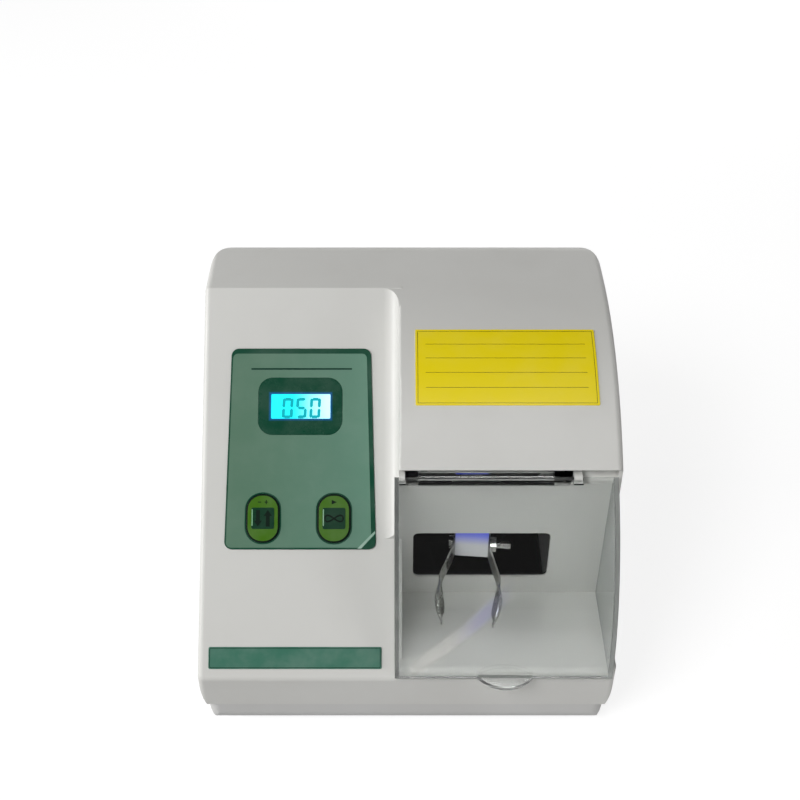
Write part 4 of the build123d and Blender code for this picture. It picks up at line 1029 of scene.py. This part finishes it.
class MIXER_OT_label(bpy.types.Operator):
    """Build the yellow write-on label that follows the hood."""

    bl_idname = "mixer.label"
    bl_label = "Hood label"

    def execute(self, context):
        finish, sizes = context.scene.mixer_finish, context.scene.mixer_sizes
        paper = ink("label_yellow", finish.label_colour, uneven=0.03, rough=0.38, coat=0.2)
        line = ink("label_line", (0.09, 0.075, 0.003), uneven=0.0)
        s0, s1 = [HOOD_R * asin((y - HOOD_Y) / HOOD_R) for y in LABEL_Y]
        x0, x1 = LABEL_X
        sheet = wrapped("hood_label_sheet", (x0, x1, s0, s1), 0.0, LABEL_T, paper, 0.6 * MM)
        settle(sheet, "housing", "label", "hood_label")
        x0, x1, s0, s1 = x0 + LABEL_MARGIN, x1 - LABEL_MARGIN, s0 + LABEL_MARGIN, s1 - LABEL_MARGIN
        low, high = s0 + RULE_WIDTH, s1 - RULE_WIDTH
        rules = [
            (x0, x1, s0, low), (x0, x1, high, s1),
            (x0, x0 + RULE_WIDTH, low, high), (x1 - RULE_WIDTH, x1, low, high),
        ]
        pitch = (s1 - s0) / (sizes.label_rules + 1)
        for s in (s0 + k * pitch for k in range(1, sizes.label_rules + 1)):
            rules.append((x0 + RULE_MARGIN, x1 - RULE_MARGIN, s, s + RULE_WIDTH))
        for k, limits in enumerate(rules):
            settle(wrapped(f"label_rule_{k}", limits, LABEL_T, LABEL_T + INK, line), "housing", "label")
        return {"FINISHED"}


# ---- clip, in the leaning frame of the wobble arm ----
AXIS = (38.3 * MM, 10.5 * MM, 76.5 * MM)
LEAN = Matrix.Translation(AXIS) @ Matrix.Rotation(radians(-5), 4, "Z")
BLOCK_LOW = AXIS[2] - 6.5 * MM
PRONG_T = 0.9 * MM
PRONG_ACROSS = 12
PRONG_STATIONS = [
    # sideways, forward, middle height, half width, dish, lean of the blade
    (8.95, 38.6, 2.0, 5.6, 0.0, 0),
    (8.95, 46.0, 1.9, 5.6, 0.0, 0),
    (9.20, 52.5, 1.6, 5.0, 0.0, 0),
    (11.8, 60.5, -0.6, 4.0, 0.0, 4),
    (14.4, 67.5, -2.0, 3.2, 0.1, 8),
    (15.0, 71.0, -2.4, 2.8, 0.3, 10),
    (15.2, 74.5, -2.6, 3.4, 1.0, 12),
    (16.0, 79.0, -3.2, 5.4, 2.2, 14),
    (16.2, 83.5, -3.7, 6.3, 2.7, 14),
    (15.4, 88.0, -4.3, 4.9, 1.8, 12),
    (13.9, 91.6, -4.8, 2.3, 0.5, 8),
    (12.9, 93.6, -5.1, 1.4, 0.1, 0),
    (12.6, 95.4, -5.2, 1.1, 0.0, 0),
]


def spline_rows(stations, steps):
    """Rows of numbers that pass smoothly through the stations."""
    rows = []
    last = len(stations) - 1
    for k in range(last):
        p = [stations[min(max(k + d, 0), last)] for d in (-1, 0, 1, 2)]
        for t in (step / steps for step in range(steps)):
            rows.append([
                b + t * (c - a + t * (2 * a - 5 * b + 4 * c - d + t * (3 * b - a - 3 * c + d))) / 2
                for a, b, c, d in zip(*p)
            ])
    rows.append(list(stations[last]))
    return rows


def prong(name, side, material):
    """Sprung prong: a strip that narrows to a neck and opens into a dished leaf."""
    rows = []
    for sideways, forward, middle, half, dish, lean in spline_rows(PRONG_STATIONS, 6):
        row = []
        for k in range(PRONG_ACROSS + 1):
            v = 2 * k / PRONG_ACROSS - 1
            lateral = sideways - dish * v * v + half * v * sin(radians(lean))
            row.append((side * lateral * MM, -forward * MM, (middle + half * v) * MM))
        rows.append(row)
    obj = sheet_from_rows(name, rows, material)
    skin = obj.modifiers.new("thickness", "SOLIDIFY")
    skin.thickness = PRONG_T
    skin.offset = 0
    edge = obj.modifiers.new("edge", "BEVEL")
    edge.width = 0.15 * MM
    edge.segments = 2
    edge.angle_limit = radians(50)
    obj.matrix_world = LEAN
    return smooth(obj, radians(50))


def block_material():
    """Moulded white block with painted blue light: its top is tinted blue and glows blue, fading out
    downwards.
    """
    material, tree, shader = blank_material("clip_block_white")
    blue_light_rise = axes(tree)[2].ramp(BLOCK_LOW + 8.5 * MM, BLOCK_LOW + 19.0 * MM)
    tone = mix_colour(tree, blue_light_rise, (0.78, 0.78, 0.80, 1), (0.14, 0.17, 0.66, 1))
    skin = effect(tree, "moulded_skin", Colour=tone, Grain=2200.0, Mottle=0.05, Gloss=0.35)
    feed(shader, {"Base Color": skin["Colour"], "Roughness": skin["Roughness"]})
    bump(tree, shader, skin["Height"], 0.2, 0.03 * MM)
    # Painted glow: the block is no lamp; its upper part glows blue.
    glow(material, mix_colour(tree, blue_light_rise, (0.02, 0.02, 0.03, 1), (0.04, 0.06, 0.50, 1)), 0.45)
    return material


class MIXER_OT_clip(bpy.types.Operator):
    """Build the capsule clip: white block and two sprung prongs."""

    bl_idname = "mixer.clip"
    bl_label = "Capsule clip"

    def execute(self, context):
        steel = metal("prong_steel", (0.42, 0.42, 0.40), 0.26, 700.0, stretch=(4, 1, 4), tarnish=0.35)
        for name, side in (("left_prong", -1), ("right_prong", 1)):
            settle(prong(name + "_leaf", side, steel), "wobble_arm", "steel", name)
        dress("clip_bolt clip_nut", metal("clip_plated", (0.75, 0.75, 0.73), rough=0.16, lines=1500.0))
        dress("clip_block", block_material())
        return {"FINISHED"}


DRIVE = (
    ("rotor_shaft motor_bearings wobble_bearings",
     metal, "drive_steel", (0.50, 0.50, 0.49), dict(rough=0.32, lines=800.0, stretch=(1, 12, 12))),
    ("motor_can motor_clamps",
     metal, "zinc_plate", (0.55, 0.56, 0.53), dict(rough=0.40, lines=240.0, tarnish=0.4)),
    # Painted shade: the motor plate is near-black so that it reads dark through the window.
    ("motor_plate",
     metal, "black_zinc", (0.020, 0.020, 0.023), dict(rough=0.6, lines=300.0, tarnish=0.1)),
    ("suspension_springs steady_spring hub_screws",
     metal, "spring_wire", (0.60, 0.60, 0.58), dict(rough=0.22, lines=2000.0)),
    ("drive_end_bell brush_end_bell crank_hub wobble_sleeve",
     metal, "cast_alloy", (0.62, 0.63, 0.64), dict(rough=0.45, lines=1500.0, relief=0.5)),
    ("armature",
     metal, "winding_copper", (0.55, 0.22, 0.08), dict(rough=0.35, lines=2600.0, stretch=(1, 9, 9))),
    ("field_magnets",
     plastic, "magnet_ferrite", (0.035, 0.035, 0.037), dict(gloss=0.6, grain=2400.0, relief=0.6)),
    ("cooling_fan brush_caps",
     plastic, "fan_nylon", (0.025, 0.025, 0.027), dict(gloss=0.45, grain=2000.0)),
)


class MIXER_OT_drive(bpy.types.Operator):
    """Finish the motor, its springs and the crank that swings the clip."""

    bl_idname = "mixer.drive"
    bl_label = "Drive finish"

    def execute(self, context):
        dress_all(DRIVE)
        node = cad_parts["suspension_springs"]
        coils = put_at("suspension_coils", node.data.copy(), node.matrix_world)
        settle(coils, "housing", "steel", "suspension_springs")
        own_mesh(coils)
        return {"FINISHED"}


def board_material(name, colour):
    """Circuit board: solder mask with tracks and pads under it."""
    material, tree, shader = blank_material(name)
    tracks = tree.nodes.new("ShaderNodeTexBrick")
    tints = {
        label: rgba([c * share for c in colour])
        for label, share in (("Color1", 1.0), ("Color2", 0.8), ("Mortar", 1.9))
    }
    feed(tracks, {"Vector": object_space(tree), "Scale": 160.0, "Mortar Size": 0.06, **tints})
    wear(tree, shader, {"Colour": tracks.outputs["Color"], "Roughness": 0.3}, 0.1, 0.05)
    feed(shader, {"Coat Weight": 0.3})
    return material


REAR = (
    ("power_inlet fuse_drawer rocker_frame",
     plastic, "inlet_black", (0.022, 0.022, 0.024), dict(gloss=0.38, grain=2300.0, dust=0.08)),
    ("power_rocker", plastic, "rocker_black", (0.018, 0.018, 0.02), dict(gloss=0.28, dust=0.04)),
    ("inlet_pins", metal, "pin_brass", (0.68, 0.50, 0.20), dict(rough=0.25, lines=1400.0)),
    ("power_parts board_parts key_switches display_module",
     plastic, "moulded_parts", (0.05, 0.05, 0.055), dict(grain=2500.0, dust=0.1)),
    ("transformer", metal, "core_iron", (0.22, 0.21, 0.20), dict(rough=0.5, stretch=(1, 1, 14))),
)


class MIXER_OT_rear(bpy.types.Operator):
    """Finish the inlet, the rocker, the boards and the transformer."""

    bl_idname = "mixer.rear"
    bl_label = "Rear and boards"

    def execute(self, context):
        dress_all(REAR)
        dress("power_board control_board", board_material("solder_mask", (0.02, 0.13, 0.05)))
        return {"FINISHED"}


# ---- stage ----
CAMERA_AT = (-0.003, LIP_Y - 0.3723, 0.5352)
FLOOR_HALF = 6.0
AMBIENT = 0.08
REFLECTED_DIM = 0.90           # share taken off the surroundings ahead and overhead in reflections
LAMPS = (
    # name, place, point it looks at, side in metres, watts, and the rays that don't see it
    ("key", (-0.93, -1.11, 1.53), (0, 0, 0.08), 0.8, 31.0, "visible_glossy"),
    ("left", (-1.2, -0.1, 0.42), (0, 0, 0.10), 0.5, 8.0, None),
    ("fill", (0.46, -0.52, 0.12), (0, 0, 0.05), 0.3, 1.0, "visible_glossy"),
    ("back", (0.45, 1.3, 0.20), (0, 0, 0.09), 0.8, 8.0, "visible_glossy"),
    ("gleam", (0.15, -0.45, 1.6), (0, 0, 0.1), 0.35, 3.6, "visible_diffuse"),
)


def area_light(name, place, target, size, power, unseen):
    """Soft square lamp that looks at a point, and is left out of one kind of ray."""
    lamp = bpy.data.lights.new(name, "AREA")
    lamp.shape = "SQUARE"
    lamp.size = size
    lamp.energy = power
    obj = show(bpy.data.objects.new(name, lamp))
    obj.location = place
    obj.rotation_euler = (Vector(target) - Vector(place)).to_track_quat("-Z", "Y").to_euler()
    if unseen:
        setattr(obj, unseen, False)


def seen_directly(tree):
    """1 for camera, glossy and transmitted rays; and 1 for glossy rays alone."""
    rays = tree.nodes.new("ShaderNodeLightPath")
    kinds = ("Is Camera Ray", "Is Glossy Ray", "Is Transmission Ray")
    camera, glossy, through = (Wire(tree, rays.outputs[kind]) for kind in kinds)
    return camera.most(glossy).most(through), glossy


def floor_material():
    """Pale matt floor that reads white where it isn't in shadow."""
    material, tree, shader = blank_material("pale_floor")
    cloud = noise(tree, object_space(tree), 1.5, 2.0)
    tone = mix_colour(tree, cloud, (0.23, 0.23, 0.23, 1), (0.26, 0.26, 0.26, 1))
    feed(shader, {"Base Color": tone, "Roughness": 0.9, "Specular IOR Level": 0.0})
    seen, glossy = seen_directly(tree)
    far = axes(tree)[1].ramp(-0.22, -0.55) * glossy
    glow(material, (1, 1, 1, 1), (seen - far * REFLECTED_DIM) * 0.84)
    return material


def studio_world():
    """White surroundings, dim overhead and in front in reflections, with little light of their own."""
    world = bpy.data.worlds.new("studio")
    world.use_nodes = True
    tree = world.node_tree
    _, ahead, up = axes(tree, "Generated")
    seen, glossy = seen_directly(tree)
    dim = up.ramp(0.45, 0.75).most(ahead.ramp(0.10, -0.40)) * glossy
    strength = (seen - dim * REFLECTED_DIM).most(AMBIENT)
    feed(tree.nodes["Background"], {"Color": (1, 1, 1, 1), "Strength": strength})
    return world


class MIXER_OT_stage(bpy.types.Operator):
    """Set up the floor, the lamps, the world and the camera."""

    bl_idname = "mixer.stage"
    bl_label = "Stage"

    def execute(self, context):
        sizes = context.scene.mixer_sizes
        corners = [(x, y, 0) for x, y in rectangle((0, 0), (2 * FLOOR_HALF, 2 * FLOOR_HALF))]
        mesh = mesh_of("floor", corners, [(0, 1, 2, 3)], floor_material())
        show(bpy.data.objects.new("floor", mesh))
        for lamp in LAMPS:
            area_light(*lamp)
        context.scene.world = studio_world()
        camera = bpy.data.cameras.new("view")
        camera.lens = sizes.lens
        camera.sensor_width = 36.0
        holder = show(bpy.data.objects.new("view", camera))
        holder.location = CAMERA_AT
        holder.rotation_euler = (pi / 2 - sizes.camera_pitch, 0, 0)
        context.scene.camera = holder
        context.scene.view_settings.view_transform = "Standard"
        return {"FINISHED"}


STEPS = (
    "housing", "cover", "keypad", "display", "keys", "strip", "label", "clip", "drive", "rear", "stage",
)


class MIXER_PT_panel(bpy.types.Panel):
    """Sizes, colours and build steps of the mixer."""

    bl_idname = "MIXER_PT_panel"
    bl_label = "Capsule mixer"
    bl_space_type = "VIEW_3D"
    bl_region_type = "UI"
    bl_category = "Mixer"

    def draw(self, context):
        for group in (context.scene.mixer_finish, context.scene.mixer_sizes):
            column = self.layout.column()
            for key in group.bl_rna.properties.keys():
                if key not in ("rna_type", "name"):
                    column.prop(group, key)
        for step in STEPS:
            self.layout.operator("mixer." + step)


CLASSES = (
    MixerFinish, MixerSizes, MIXER_OT_housing, MIXER_OT_cover, MIXER_OT_keypad, MIXER_OT_display,
    MIXER_OT_keys, MIXER_OT_strip, MIXER_OT_label, MIXER_OT_clip, MIXER_OT_drive, MIXER_OT_rear,
    MIXER_OT_stage, MIXER_PT_panel,
)


def register():
    """Register the classes and their settings."""
    for cls in CLASSES:
        bpy.utils.register_class(cls)
    bpy.types.Scene.mixer_finish = PointerProperty(type=MixerFinish)
    bpy.types.Scene.mixer_sizes = PointerProperty(type=MixerSizes)


def unregister():
    """Take the classes and their settings away again."""
    del bpy.types.Scene.mixer_sizes
    del bpy.types.Scene.mixer_finish
    for cls in reversed(CLASSES):
        bpy.utils.unregister_class(cls)


def main():
    """Build everything."""
    register()
    for step in STEPS:
        getattr(bpy.ops.mixer, step)()


if __name__ == "__main__":
    main()
